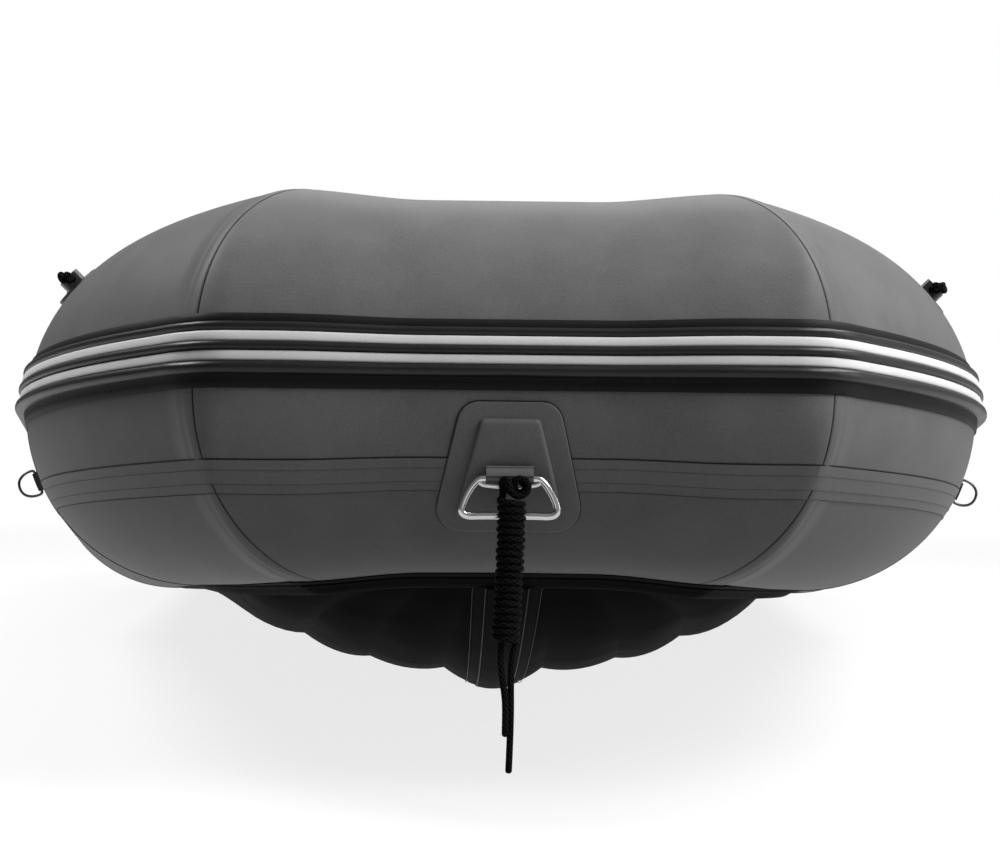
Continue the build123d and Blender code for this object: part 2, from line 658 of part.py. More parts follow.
hank_top = painter_root + Vector(HANK_TOP_X, 0, -HANK_TOP)
hank_bottom = painter_root + Vector(HANK_TOP_X + HANK_LEAN, 0, -HANK_BOTTOM)
with BuildPart() as painter_hank:
    with BuildSketch(Plane(origin=hank_bottom, z_dir=hank_top - hank_bottom)):
        Circle(HANK_R)
    extrude(amount=(hank_top - hank_bottom).length)
    fillet(painter_hank.edges(), 5)
export_piece(painter_hank.part, "painter_hank")

# Rope ends below the hank: distance across from its foot and below the bow's axis
end_start = HANK_BOTTOM + SEAT_GAP + 0.4
SHORT_END = ((-5.5, end_start), (-5.0, end_start + 26), (-2.5, end_start + 58), (-2.0, SHORT_END_LOW))
LONG_END = ((5.0, end_start), (5.5, end_start + 32), (6.5, end_start + 76), (4.5, LONG_END_LOW))
for node, rope_route in (("painter_short_end", SHORT_END), ("painter_long_end", LONG_END)):
    spots = [Vector(hank_bottom.X + x, hank_bottom.Y, BOW_Z - below) for x, below in rope_route]
    bends = []
    for before, corner, after in zip(spots, spots[1:], spots[2:]):
        turn = radians((corner - before).get_angle(after - corner))
        bends.append(0.45 * min((corner - before).length, (after - corner).length) / tan(turn / 2))
    with BuildPart() as rope:
        with BuildLine() as line:
            FilletPolyline(*spots, radius=bends)
        with BuildSketch(Plane(origin=line.line @ 0, z_dir=line.line % 0)):
            Circle(ROPE_D / 2)
        sweep()
    export_piece(rope.part, node)
    print(node, "bend radii", [round(r) for r in bends])

# Low side rings that stand out from their webbing patches
SIDE_RING_AFT = 77.0
SIDE_RING_WIRE = 5.0
SIDE_RING_HALF = 15.5
SIDE_RING_OUT = 30.0
SIDE_RING_BEND = 9.0
SIDE_BAR_OFF = 8.0
SIDE_PATCH = (84.0, 100.0, 22.0)
SIDE_PATCH_THICK = 2.0
SIDE_PATCH_DROP = 7.0
WEB_HALF = 7.0
WEB_WIDTH = 22.0
side_ring_angle = degrees(strake_angle - (STRAKE_HEIGHT / 2 + SIDE_PATCH_DROP + SIDE_PATCH[1] / 2) / TUBE_R)
frame = skin_frame(SHOULDER_RUN + SIDE_RING_AFT, side_ring_angle)
bar = frame.origin + frame.z_dir * SIDE_BAR_OFF
with BuildPart() as side_patch:
    with BuildSketch(frame.offset(-12)):
        RectangleRounded(*SIDE_PATCH)
    extrude(amount=12 + SIDE_PATCH_THICK)
    for cutter in side_cutters:
        add(cutter, mode=Mode.SUBTRACT)
    with BuildSketch(frame):
        Rectangle(WEB_WIDTH, 2 * WEB_HALF)
    extrude(amount=SIDE_BAR_OFF + SIDE_RING_WIRE / 2 + 2.5)
    with BuildSketch(Plane(origin=bar, x_dir=frame.x_dir, z_dir=frame.y_dir)):
        Circle(SIDE_RING_WIRE / 2 + SEAT_GAP)
    extrude(amount=SIDE_PATCH[1], both=True, mode=Mode.SUBTRACT)
    for cutter in side_cutters:
        add(cutter, mode=Mode.SUBTRACT)
export_both(side_patch.part, "side_ring_patches")
with BuildPart() as side_ring:
    with BuildLine() as wire:
        out, tall = frame.z_dir, frame.y_dir
        FilletPolyline(
            bar - tall * SIDE_RING_HALF, bar + tall * SIDE_RING_HALF,
            bar + tall * (SIDE_RING_HALF + 2) + out * SIDE_RING_OUT * 0.55, bar + out * SIDE_RING_OUT,
            bar - tall * (SIDE_RING_HALF + 2) + out * SIDE_RING_OUT * 0.55,
            radius=SIDE_RING_BEND, close=True,
        )
    with BuildSketch(Plane(origin=wire.line @ 0, z_dir=wire.line % 0)):
        Circle(SIDE_RING_WIRE / 2)
    sweep()
export_both(side_ring.part, "side_rings")

# Inflation valves: distance aft, angle round the tube
VALVE_R = 32.0
VALVE_RIM = 8.0
VALVE_HEIGHT = 5.0
VALVE_CAP = 7.0
VALVES = ((560.0, 120.0), (2665.0, 128.0))
with BuildPart() as valves:
    for run, angle in VALVES:
        frame = skin_frame(run, angle)
        with BuildSketch(frame.offset(-6)):
            Circle(VALVE_R)
        extrude(amount=6 + VALVE_HEIGHT)
        with BuildSketch(frame.offset(VALVE_HEIGHT)):
            Circle(VALVE_R - VALVE_RIM)
        extrude(amount=VALVE_CAP)
    for cutter in side_cutters:
        add(cutter, mode=Mode.SUBTRACT)
export_both(valves.part, "inflation_valves")

# Carry handles on top of the stern tubes
HANDLE_RUN = 2640.0
HANDLE_ANGLE = 80.0
HANDLE_SPAN = 150.0
HANDLE_RISE = 40.0
HANDLE_GRIP_R = 11.0
HANDLE_PAD = (52.0, 60.0, 12.0)
HANDLE_PAD_THICK = 4.0
frame = skin_frame(HANDLE_RUN, HANDLE_ANGLE)
with BuildPart() as handle:
    with BuildSketch(frame.offset(-6)):
        with Locations((-HANDLE_SPAN / 2, 0), (HANDLE_SPAN / 2, 0)):
            RectangleRounded(*HANDLE_PAD)
    extrude(amount=6 + HANDLE_PAD_THICK)
    with BuildLine() as grip:
        FilletPolyline(
            frame.origin - frame.x_dir * HANDLE_SPAN / 2,
            frame.origin - frame.x_dir * HANDLE_SPAN / 2 + frame.z_dir * HANDLE_RISE,
            frame.origin + frame.x_dir * HANDLE_SPAN / 2 + frame.z_dir * HANDLE_RISE,
            frame.origin + frame.x_dir * HANDLE_SPAN / 2,
            radius=24,
        )
    with BuildSketch(Plane(origin=grip.line @ 0, z_dir=grip.line % 0)):
        Circle(HANDLE_GRIP_R)
    sweep()
    add(side_cutters[2], mode=Mode.SUBTRACT)
export_both(handle.part, "carry_handles")
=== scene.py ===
import json
from math import acos, asin, atan2, cos, exp, pi, radians, sin, sqrt, tan

import bmesh
import bpy
from mathutils import Matrix, Vector


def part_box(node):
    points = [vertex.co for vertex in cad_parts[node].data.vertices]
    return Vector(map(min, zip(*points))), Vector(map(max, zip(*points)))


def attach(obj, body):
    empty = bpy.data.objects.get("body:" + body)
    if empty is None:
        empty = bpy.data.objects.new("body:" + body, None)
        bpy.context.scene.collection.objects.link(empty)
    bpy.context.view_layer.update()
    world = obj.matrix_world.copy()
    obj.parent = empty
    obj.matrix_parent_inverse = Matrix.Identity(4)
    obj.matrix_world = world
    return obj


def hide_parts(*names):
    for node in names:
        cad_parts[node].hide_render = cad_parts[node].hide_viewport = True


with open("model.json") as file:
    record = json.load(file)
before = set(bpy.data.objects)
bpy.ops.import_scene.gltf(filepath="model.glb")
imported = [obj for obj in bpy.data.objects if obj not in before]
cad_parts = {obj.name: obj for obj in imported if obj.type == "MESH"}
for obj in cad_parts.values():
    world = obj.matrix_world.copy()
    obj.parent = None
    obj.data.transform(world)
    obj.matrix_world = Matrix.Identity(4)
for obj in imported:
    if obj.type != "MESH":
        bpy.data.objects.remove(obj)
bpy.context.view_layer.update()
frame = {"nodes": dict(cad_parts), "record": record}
nodes = frame["nodes"]
scene = bpy.context.scene
scene.view_settings.view_transform = "Standard"

# Hull frame, in metres, with the source's own dimensions
TUBE_R = 0.215
SIDE_X = 0.555
BOW_Z = 0.430
BOW_HALF = 0.216
BOW_TURN = radians(51.5)
BOW_WAIST = 0.0105
WAIST_FROM, WAIST_TO = 0.24, 0.09
SHOULDER_R = 0.785
FLARE = radians(8.5)
CONE_RUN = 2.760
CONE_LENGTH = 0.300
TRANSOM_RUN = 2.480
CORNER, SHARP_CORNER = 0.046, 0.008
CORNER_AT, CORNER_SPREAD = 0.08, radians(20)
PANEL = 0.0008
STRAKE_UP, STRAKE_HALF = 0.020, 0.038
BEAD_ARC, BEAD_HEIGHT = 0.060, 0.014
SLOPE = asin(BOW_Z / sqrt(CONE_RUN**2 + TUBE_R**2)) - atan2(TUBE_R, CONE_RUN)
SIDE_TURN = radians(90) - FLARE
SHOULDER_X = BOW_HALF + SHOULDER_R * (sin(SIDE_TURN) - sin(BOW_TURN))
SHOULDER_RUN = SHOULDER_R * (cos(BOW_TURN) - cos(SIDE_TURN))
QUARTER_RUN = SHOULDER_RUN + (SIDE_X - SHOULDER_X) / tan(FLARE)
BEND_LENGTH = SHOULDER_R * (SIDE_TURN - BOW_TURN)
FORWARD_LENGTH = (QUARTER_RUN - SHOULDER_RUN) / cos(FLARE)
ACROSS = Vector((1, 0, 0))
ALONG = Vector((0, cos(SLOPE), -sin(SLOPE)))
UP = Vector((0, sin(SLOPE), cos(SLOPE)))
bead_angle = (STRAKE_UP + STRAKE_HALF - BEAD_ARC) / TUBE_R + SLOPE
front_reach = (TUBE_R + BEAD_HEIGHT) * cos(bead_angle)
BOW_AXIS = Vector((0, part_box("rub_strake")[0].y + front_reach, BOW_Z))


def hull_point(x, run, height):
    return BOW_AXIS + ACROSS * x + ALONG * run + UP * height


def axis_turn(run):
    if run < SHOULDER_RUN:
        return acos(cos(BOW_TURN) - max(run, 0) / SHOULDER_R)
    return SIDE_TURN if run < QUARTER_RUN else radians(90)


def axis_x(run):
    if run < SHOULDER_RUN:
        return BOW_HALF + SHOULDER_R * (sin(axis_turn(run)) - sin(BOW_TURN))
    if run < QUARTER_RUN:
        return SHOULDER_X + (run - SHOULDER_RUN) * tan(FLARE)
    return SIDE_X


def skin_point(x, run, turn, angle, lift):
    """Point on a tube's skin: angle up from its outer side."""
    out = ACROSS * sin(turn) - ALONG * cos(turn)
    return hull_point(x, run, 0) + (out * cos(angle) + UP * sin(angle)) * (TUBE_R + lift)


def bow_drawn(x):
    """How far the bow tube is drawn in at a distance from the middle."""
    t = min(max((WAIST_FROM - abs(x)) / (WAIST_FROM - WAIST_TO), 0), 1)
    return BOW_WAIST * t * t * (3 - 2 * t)


def bow_skin(x, angle, lift):
    """Point on the drawn-in bow tube, at a distance from the middle."""
    return skin_point(x, 0, 0, angle, lift - bow_drawn(x))


def side_skin(s, angle, lift):
    """Point on the port tubes, at a distance along their axes from the bow's mitre."""
    if s < 0:
        return skin_point(BOW_HALF + cos(BOW_TURN) * s, sin(BOW_TURN) * s, BOW_TURN, angle, lift)
    if s < BEND_LENGTH:
        turn = BOW_TURN + s / SHOULDER_R
        run = SHOULDER_R * (cos(BOW_TURN) - cos(turn))
        return skin_point(BOW_HALF + SHOULDER_R * (sin(turn) - sin(BOW_TURN)), run, turn, angle, lift)
    s -= BEND_LENGTH
    return skin_point(SHOULDER_X + sin(FLARE) * s, SHOULDER_RUN + cos(FLARE) * s, SIDE_TURN, angle, lift)


def stern_skin(run, angle, lift):
    return skin_point(SIDE_X, run, radians(90), angle, lift)


def mitre_reach(angle, lift=0):
    return (TUBE_R + lift) * cos(angle) * tan(BOW_TURN / 2)


def quarter_reach(angle):
    return TUBE_R * cos(angle) * tan(FLARE / 2)


def corner_size(angle):
    """Rounding of the mitre, which is widest under the strake."""
    away = atan2(sin(angle - CORNER_AT), cos(angle - CORNER_AT)) / CORNER_SPREAD
    return SHARP_CORNER + (CORNER - SHARP_CORNER) * exp(-away * away)


def along_skin(d, angle, lift):
    """Point at a distance past the bow's mitre, whose corner is softly rounded."""
    reach = mitre_reach(angle, lift)
    corner = BOW_HALF + reach
    size = corner_size(angle)
    if d <= -size:
        return bow_skin(corner + d, angle, lift)
    if d >= size:
        return side_skin(d - reach, angle, lift)
    u = 0.5 + 0.5 * d / size
    first, tip = bow_skin(corner - size, angle, lift), bow_skin(corner, angle, lift)
    last = side_skin(size - reach, angle, lift)
    return first * (1 - u) ** 2 + tip * 2 * u * (1 - u) + last * u * u


def generator(angle, lift, bow_steps=14, corner_steps=12, side_steps=26, forward_steps=12):
    """Line along the tubes at one angle, from the middle of the bow to the quarter."""
    reach = mitre_reach(angle, lift)
    corner = BOW_HALF + mitre_reach(angle, lift + PANEL)
    spots = [-corner + (corner - CORNER) * i / bow_steps for i in range(bow_steps)]
    spots += [-CORNER + 2 * CORNER * i / corner_steps for i in range(corner_steps)]
    bend = BEND_LENGTH + reach
    spots += [CORNER + (bend - CORNER) * i / side_steps for i in range(side_steps)]
    end = bend + FORWARD_LENGTH + quarter_reach(angle)
    spots += [bend + (end - bend) * i / forward_steps for i in range(forward_steps + 1)]
    return [along_skin(d, angle, lift + (PANEL if d < lap_shift(angle) else 0)) for d in spots]


def whole_line(angle, lift, end_run=CONE_RUN, stern_steps=8):
    """The line along the tubes from the middle of the bow to a stern station."""
    start = QUARTER_RUN - quarter_reach(angle)
    stations = [start + (end_run - start) * i / stern_steps for i in range(1, stern_steps + 1)]
    return generator(angle, lift) + [stern_skin(run, angle, lift) for run in stations]


# Camera at the photograph's place
camera = bpy.data.objects.new("camera", bpy.data.cameras.new("camera"))
scene.collection.objects.link(camera)
camera.data.sensor_fit = "HORIZONTAL"
camera.data.sensor_width = 36
camera.data.lens = 78.9
camera.location = BOW_AXIS + Vector((-0.062, -2.399, -0.0384))
heading, roll = 0.0218, 0.0105
gaze = Vector((sin(heading), cos(heading), 0)).to_track_quat("-Z", "Y").to_matrix()
camera.rotation_euler = (gaze @ Matrix.Rotation(roll, 3, "Z")).to_euler()
scene.camera = camera


# Mesh helpers
def new_piece(name, verts, faces, uvs=None, sharp=None):
    mesh = bpy.data.meshes.new(name)
    mesh.from_pydata(verts, [], faces)
    if uvs:
        layer = mesh.uv_layers.new(name="UVMap")
        layer.data.foreach_set("uv", [c for uv in uvs for c in uv])
    mesh.polygons.foreach_set("use_smooth", [True] * len(mesh.polygons))
    if sharp:
        mesh.set_sharp_from_angle(angle=sharp)
    piece = bpy.data.objects.new(name, mesh)
    scene.collection.objects.link(piece)
    return piece


def grid_piece(name, rows, closed=False, mirror=True, flip=False, sharp=None):
    """Quads through rows of points, with the starboard half welded on."""
    verts, faces = [], []
    width = len(rows[0])
    for side in (1, -1) if mirror else (1,):
        base = len(verts)
        for row in rows:
            verts += [(p.x * side, p.y, p.z) for p in row]
        for i in range(len(rows) - 1 + closed):
            for j in range(width - 1):
                a = base + i * width + j
                b = base + (i + 1) % len(rows) * width + j
                quad = (a, a + 1, b + 1, b)
                faces.append(quad if (side > 0) != flip else quad[::-1])
    piece = new_piece(name, verts, faces)
    work = bmesh.new()
    work.from_mesh(piece.data)
    bmesh.ops.remove_doubles(work, verts=work.verts, dist=0.00002)
    bmesh.ops.recalc_face_normals(work, faces=work.faces)
    work.to_mesh(piece.data)
    work.free()
    if sharp:
        piece.data.set_sharp_from_angle(angle=sharp)
    return piece


def dress(piece, material, body="hull"):
    piece.data.materials.clear()
    piece.data.materials.append(material)
    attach(piece, body)
    return piece


def turns(count):
    return [2 * pi * i / count for i in range(count)]


# Shader node helpers
def new_group(name, outputs, inputs=()):
    group = bpy.data.node_groups.new(name, "ShaderNodeTree")
    for socket, kind, value in inputs:
        item = group.interface.new_socket(socket, in_out="INPUT", socket_type=kind)
        item.default_value = value
    for socket in outputs:
        group.interface.new_socket(socket, in_out="OUTPUT", socket_type="NodeSocketFloat")
    return group, group.nodes.new("NodeGroupInput"), group.nodes.new("NodeGroupOutput")


def add_node(tree, kind, settings=(), **values):
    node = tree.nodes.new(kind)
    for key, value in settings:
        setattr(node, key, value)
    for key, value in values.items():
        node.inputs[key.replace("_", " ")].default_value = value
    return node


def maths(tree, operation, a, b=None):
    node = tree.nodes.new("ShaderNodeMath")
    node.operation = operation
    for socket, value in zip(node.inputs, (a, b)):
        if isinstance(value, (int, float)):
            socket.default_value = value
        elif value is not None:
            tree.links.new(value, socket)
    return node.outputs[0]


def noise(tree, vector, scale, detail=3.0, roughness=0.5):
    node = add_node(tree, "ShaderNodeTexNoise", Scale=scale, Detail=detail, Roughness=roughness)
    tree.links.new(vector, node.inputs["Vector"])
    return node.outputs["Fac"]


def stretched(tree, vector, scale):
    node = add_node(tree, "ShaderNodeVectorMath", (("operation", "MULTIPLY"),))
    tree.links.new(vector, node.inputs[0])
    node.inputs[1].default_value = scale
    return node.outputs[0]


def mapped(tree, value, low, high, to_low=0.0, to_high=1.0):
    node = add_node(tree, "ShaderNodeMapRange", From_Min=low, From_Max=high, To_Min=to_low, To_Max=to_high)
    tree.links.new(value, node.inputs["Value"])
    return node.outputs[0]


# Coated fabric: cloth grain that shows through, soft mottling, and dust on upward faces
coating, given, result = new_group(
    "coated_cloth", ("Height", "Mottle_and_strand_shade", "Dust"),
    (("Grain", "NodeSocketFloat", 1.0), ("Swell", "NodeSocketFloat", 1.0)),
)
place = coating.nodes.new("ShaderNodeTexCoord").outputs["Object"]
axes = coating.nodes.new("ShaderNodeSeparateXYZ")
coating.links.new(stretched(coating, place, (2600.0, 2600.0, 2600.0)), axes.inputs[0])
threads = maths(coating, "ADD", maths(coating, "SINE", axes.outputs[0]), maths(coating, "SINE", axes.outputs[2]))
threads = maths(coating, "ADD", threads, maths(coating, "SINE", axes.outputs[1]))
pebble = maths(coating, "MULTIPLY", noise(coating, place, 420.0, 2.0), 0.00011)
grain = maths(coating, "ADD", maths(coating, "MULTIPLY", threads, 0.000008), pebble)
grain = maths(coating, "MULTIPLY", grain, given.outputs["Grain"])
swell = maths(coating, "MULTIPLY", noise(coating, place, 5.0, 1.0), 0.004)
swell = maths(coating, "MULTIPLY", swell, given.outputs["Swell"])
coating.links.new(maths(coating, "ADD", grain, swell), result.inputs["Height"])
blotch = maths(coating, "MULTIPLY", noise(coating, place, 14.0, 5.0, 0.6), 0.5)
speck = maths(coating, "MULTIPLY", noise(coating, place, 620.0, 2.0, 0.6), 0.5)
coating.links.new(maths(coating, "ADD", blotch, speck), result.inputs["Mottle_and_strand_shade"])
normal_axes = coating.nodes.new("ShaderNodeSeparateXYZ")
coating.links.new(coating.nodes.new("ShaderNodeNewGeometry").outputs["Normal"], normal_axes.inputs[0])
specks = mapped(coating, noise(coating, place, 240.0, 3.0, 0.7), 0.6, 0.78)
upward = mapped(coating, normal_axes.outputs[2], -0.2, 0.9)
coating.links.new(maths(coating, "MULTIPLY", specks, upward), result.inputs["Dust"])

# Braided rope, by its length and turn in UV space; its colour follows the plait, as painted highlight on the strand
# crests and painted shade between strands
braid, _, result = new_group("rope_braid", ("Height", "Mottle_and_strand_shade", "Dust"))
axes = braid.nodes.new("ShaderNodeSeparateXYZ")
braid.links.new(braid.nodes.new("ShaderNodeTexCoord").outputs["UV"], axes.inputs[0])
waves = []
for lean in (1.1, -1.1):
    strands = maths(braid, "MULTIPLY", axes.outputs[0], 5.0)
    phase = maths(braid, "ADD", strands, maths(braid, "MULTIPLY", axes.outputs[1], lean))
    waves.append(maths(braid, "SINE", maths(braid, "MULTIPLY", phase, 2 * pi)))
plait = maths(braid, "MAXIMUM", *waves)
braid.links.new(maths(braid, "MULTIPLY", plait, 0.00045), result.inputs["Height"])
# Painted highlight and shade: the colour is lightest on the plait's crests and darkest in its grooves
braid.links.new(mapped(braid, plait, 0.4, 1.0, 0.25, 0.75), result.inputs["Mottle_and_strand_shade"])

# Painted wood: long grain along the boat's beam
timber, _, result = new_group("painted_timber", ("Height", "Mottle_and_strand_shade", "Dust"))
place = timber.nodes.new("ShaderNodeTexCoord").outputs["Object"]
fibres = noise(timber, stretched(timber, place, (6.0, 90.0, 90.0)), 2.0, 5.0, 0.65)
timber.links.new(fibres, result.inputs["Mottle_and_strand_shade"])
timber.links.new(maths(timber, "MULTIPLY", fibres, 0.0007), result.inputs["Height"])
timber.links.new(mapped(timber, noise(timber, place, 160.0, 3.0), 0.6, 0.8), result.inputs["Dust"])


def surface(name, dark, light, rough, group=coating, grain=1.0, swell=0.0, dust=0.0, **shader):
    """Material whose colour, roughness and relief follow a detail group."""
    material = bpy.data.materials.new(name)
    material.use_nodes = True
    tree = material.node_tree
    bsdf = tree.nodes["Principled BSDF"]
    for key, value in shader.items():
        bsdf.inputs[key.replace("_", " ")].default_value = value
    detail = tree.nodes.new("ShaderNodeGroup")
    detail.node_tree = group
    if group == coating:
        detail.inputs["Grain"].default_value = grain
        detail.inputs["Swell"].default_value = swell
    ramp = tree.nodes.new("ShaderNodeValToRGB")
    for element, position, value in zip(ramp.color_ramp.elements, (0.3, 0.7), (dark, light)):
        element.position = position
        element.color = (value, value, value * 1.01, 1)
    tree.links.new(detail.outputs["Mottle_and_strand_shade"], ramp.inputs[0])
    colour = ramp.outputs[0]
    if dust:
        mix = tree.nodes.new("ShaderNodeMix")
        mix.data_type = "RGBA"
        mix.inputs["B"].default_value = (0.35, 0.35, 0.35, 1)
        tree.links.new(colour, mix.inputs["A"])
        tree.links.new(maths(tree, "MULTIPLY", detail.outputs["Dust"], dust), mix.inputs["Factor"])
        colour = mix.outputs["Result"]
    tree.links.new(colour, bsdf.inputs["Base Color"])
    tree.links.new(mapped(tree, detail.outputs["Mottle_and_strand_shade"], 0.3, 0.7, *rough), bsdf.inputs["Roughness"])
    relief = add_node(tree, "ShaderNodeBump", Strength=1.0, Distance=1.0)
    tree.links.new(detail.outputs["Height"], relief.inputs["Height"])
    tree.links.new(relief.outputs[0], bsdf.inputs["Normal"])
    return material


tube_fabric = surface("tube_fabric", 0.088, 0.134, (0.46, 0.56), swell=0.5, dust=0.06, Specular_IOR_Level=0.14)
tape_fabric = surface("tape_fabric", 0.090, 0.136, (0.46, 0.56), dust=0.06, Specular_IOR_Level=0.16)
# Grey for painted faint shade lines at the low seam's layer steps, and black for painted shadow lines at the feet of
# steps
step_shade_grey = surface("step_shade_grey", 0.062, 0.078, (0.6, 0.7), Specular_IOR_Level=0.2)
step_shadow_black = surface("step_shadow_black", 0.003, 0.005, (0.6, 0.7), Specular_IOR_Level=0.2)
stripe_rubber = surface("stripe_rubber", 0.60, 0.66, (0.5, 0.6), dust=0.05, Specular_IOR_Level=0.3)
black_rubber = surface("black_rubber", 0.004, 0.008, (0.34, 0.46), dust=0.02, Specular_IOR_Level=0.35)
flange_rubber = surface("flange_rubber", 0.004, 0.008, (0.5, 0.6), dust=0.02, Specular_IOR_Level=0.12)
bead_rubber = surface("bead_rubber", 0.006, 0.010, (0.3, 0.4), Specular_IOR_Level=0.012)
band_rubber = surface("band_rubber", 0.003, 0.005, (0.4, 0.5), Specular_IOR_Level=0.0012)
hull_fabric = surface("hull_fabric", 0.002, 0.004, (0.34, 0.46), swell=0.6, Specular_IOR_Level=0.0004)
black_plastic = surface("black_plastic", 0.008, 0.013, (0.30, 0.42), grain=1.5)
stainless = surface("stainless", 0.55, 0.65, (0.12, 0.22), grain=0.4, Metallic=1.0)
dull_steel = surface("dull_steel", 0.07, 0.11, (0.25, 0.35), grain=0.4, Metallic=1.0)
plywood = surface("marine_plywood", 0.12, 0.20, (0.38, 0.5), group=timber, dust=0.1)
# The rope's light tone is painted highlight on the braid's crests, its dark tone painted shade between strands
rope_fabric = surface("rope", 0.0008, 0.010, (0.6, 0.75), group=braid, Specular_IOR_Level=0.03)

finish_of = {
    "tube_fabric": tube_fabric, "cone_fabric": tube_fabric, "stripe_rubber": stripe_rubber,
    "black_rubber": black_rubber, "hull_fabric": hull_fabric, "marine_plywood": plywood,
    "rope": rope_fabric, "stainless": stainless, "black_plastic": black_plastic,
}
for part in frame["record"]["subparts"]:
    node = nodes[part["node"]]
    node.data.materials.clear()
    node.data.materials.append(finish_of[part["material_slot"]])

# Tube skins: the bow panel laps over the shoulder, whose seam tapes step down in two layers
LAP = (
    *((d, PANEL) for d in (-0.062, -0.050, -0.040, -0.030, -0.022, -0.014, -0.007, -0.002, -0.0003)),
    (0.0000, 0.0001), (0.0012, 0.0001), (0.0016, 0.0007), (0.005, 0.0007), (0.010, 0.0007), (0.0155, 0.0007),
    (0.0160, 0.0004), (0.022, 0.0004), (0.0295, 0.0004), (0.0300, 0.0), (CORNER + 0.004, 0.0),
)
LAP_PAST, LAP_BACK_ABOVE, LAP_BACK_BELOW = 0.007, 0.025, 0.047
BOW_CLEAR = 0.105


def lap_shift(angle):
    """How far the panel's edge lies past the mitre, by its place round the tube."""
    back = LAP_BACK_ABOVE if sin(angle) > 0 else LAP_BACK_BELOW
    return LAP_PAST - back * (1 - cos(angle)) / (1 if cos(angle) > 0 else 1 - cos(angle))


def along_lap(d, angle, lift):
    return along_skin(d + lap_shift(angle), angle, lift)


rows = []
for angle in turns(168):
    reach = mitre_reach(angle)
    corner, bend = BOW_HALF + mitre_reach(angle, PANEL), BEND_LENGTH + reach
    row = [along_skin(-corner + (corner - BOW_CLEAR) * i / 18, angle, PANEL) for i in range(19)]
    row += [along_lap(d, angle, lift) for d, lift in LAP]
    start, end = LAP[-1][0] + lap_shift(angle), bend + FORWARD_LENGTH + quarter_reach(angle)
    row += [along_skin(start + (bend - start) * i / 28, angle, 0) for i in range(1, 29)]
    row += [along_skin(bend + (end - bend) * i / 16, angle, 0) for i in range(1, 17)]
    rows.append(row)
skin = grid_piece("forward_skin", rows, closed=True)
dress(skin, tube_fabric)
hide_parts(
    "bow_tube", "shoulder_tube_port", "shoulder_tube_starboard", "forward_tube_port", "forward_tube_starboard"
)

# Stern tubes and their cones, which curve in to a rounded tip
CONE_BEND, CONE_SIDE = 0.3751, 0.275
TIP_FLAT, TIP_ROUND = 0.070, 0.025
rows = []
for angle in turns(128):
    start = QUARTER_RUN - quarter_reach(angle)
    row = [stern_skin(start + (CONE_RUN - start) * i / 16, angle, 0) for i in range(17)]
    for i in range(1, 15):
        past = CONE_SIDE * i / 14
        row.append(stern_skin(CONE_RUN + past, angle, sqrt(CONE_BEND**2 - past * past) - CONE_BEND))
    for i in range(1, 7):
        swing = pi / 2 * i / 6
        past = CONE_SIDE + TIP_ROUND * sin(swing)
        row.append(stern_skin(CONE_RUN + past, angle, TIP_FLAT + TIP_ROUND * cos(swing) - TUBE_R))
    row.append(hull_point(SIDE_X, CONE_RUN + CONE_LENGTH, 0))
    rows.append(row)
skin = grid_piece("stern_skin", rows, closed=True)
dress(skin, tube_fabric)
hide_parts("stern_tube_port", "stern_tube_starboard", "stern_cone_port", "stern_cone_starboard")


def long_strip(name, profile, material, line=whole_line, sharp=None):
    """Strip along the tubes through a profile of angles and heights."""
    rows = [line(angle, lift, CONE_RUN) for angle, lift in profile]
    return dress(grid_piece(name, rows, sharp=sharp), material)


def ring_strip(name, place, profile, material, count=150):
    """Strip round a tube through a profile of distances and heights."""
    rows = [[place(d, angle, lift) for d, lift in profile] for angle in turns(count)]
    return dress(grid_piece(name, rows, closed=True), material)


def degrees_of(profile):
    return [(radians(a), lift) for a, lift in profile]


# Rub strake: distance round the skin from its upper edge and height over it, in millimetres
STRAKE_TOP = 0.0546
STRAKE_RUN_OUT = 0.03
EDGE_IN_SKIN = -0.0008
UPPER_FLANGE = ((0, -0.8), (0.2, 2.0), (0.8, 2.5), (5, 2.8), (9.2, 3.0), (9.8, 2.8))
RIBS = (
    (9.8, 2.8), (10.1, 5.5), (11.0, 7.6), (12.8, 8.8), (15.0, 8.9), (17.2, 8.3), (18.8, 7.0), (19.8, 5.2),
    (20.2, 4.0), (29.9, 4.0), (30.2, 7.6), (31.1, 9.6), (32.7, 10.8), (34.7, 11.1), (36.6, 10.8), (38.2, 9.6),
    (39.0, 7.6), (39.3, 4.0), (49.6, 4.0), (49.9, 8.0), (50.7, 11.2), (52.2, 13.2), (54.4, 14.0), (57.0, 14.0),
    (59.2, 13.2), (60.8, 11.4), (61.8, 8.4), (62.2, 5.0), (62.5, 3.4),
)
LOWER_FLANGE = ((62.5, 3.4), (63.0, 3.2), (69, 2.9), (75.2, 2.5), (75.8, 2.0), (76, -0.8))
STRIPE = ((0.0, 3.4), (0.1, 7.0), (0.7, 8.0), (2.4, 8.4), (5.0, 8.5), (7.6, 8.4), (9.3, 8.0), (9.9, 7.0), (10.0, 3.4))


def strake_line(angle, lift, end_run):
    """Line of the strake, which runs out into the skin at the stern."""
    return whole_line(angle, lift, end_run - STRAKE_RUN_OUT) + [stern_skin(end_run, angle, min(lift, EDGE_IN_SKIN))]


def on_strake(profile, shift=0.0):
    return [((STRAKE_TOP - (arc + shift) / 1000) / TUBE_R, height / 1000) for arc, height in profile]


for name, profile in (("upper", UPPER_FLANGE), ("lower", LOWER_FLANGE)):
    long_strip(f"strake_{name}_flange", on_strake(profile), flange_rubber, line=strake_line)
ribs = long_strip("strake_ribs", on_strake(RIBS), black_rubber, line=strake_line)
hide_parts("rub_strake")
for name, shift in (("upper", 20.1), ("lower", 39.4)):
    stripe = long_strip(f"stripe_{name}", on_strake(STRIPE, shift), stripe_rubber, line=strake_line)
    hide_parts(f"strake_stripe_{name}")
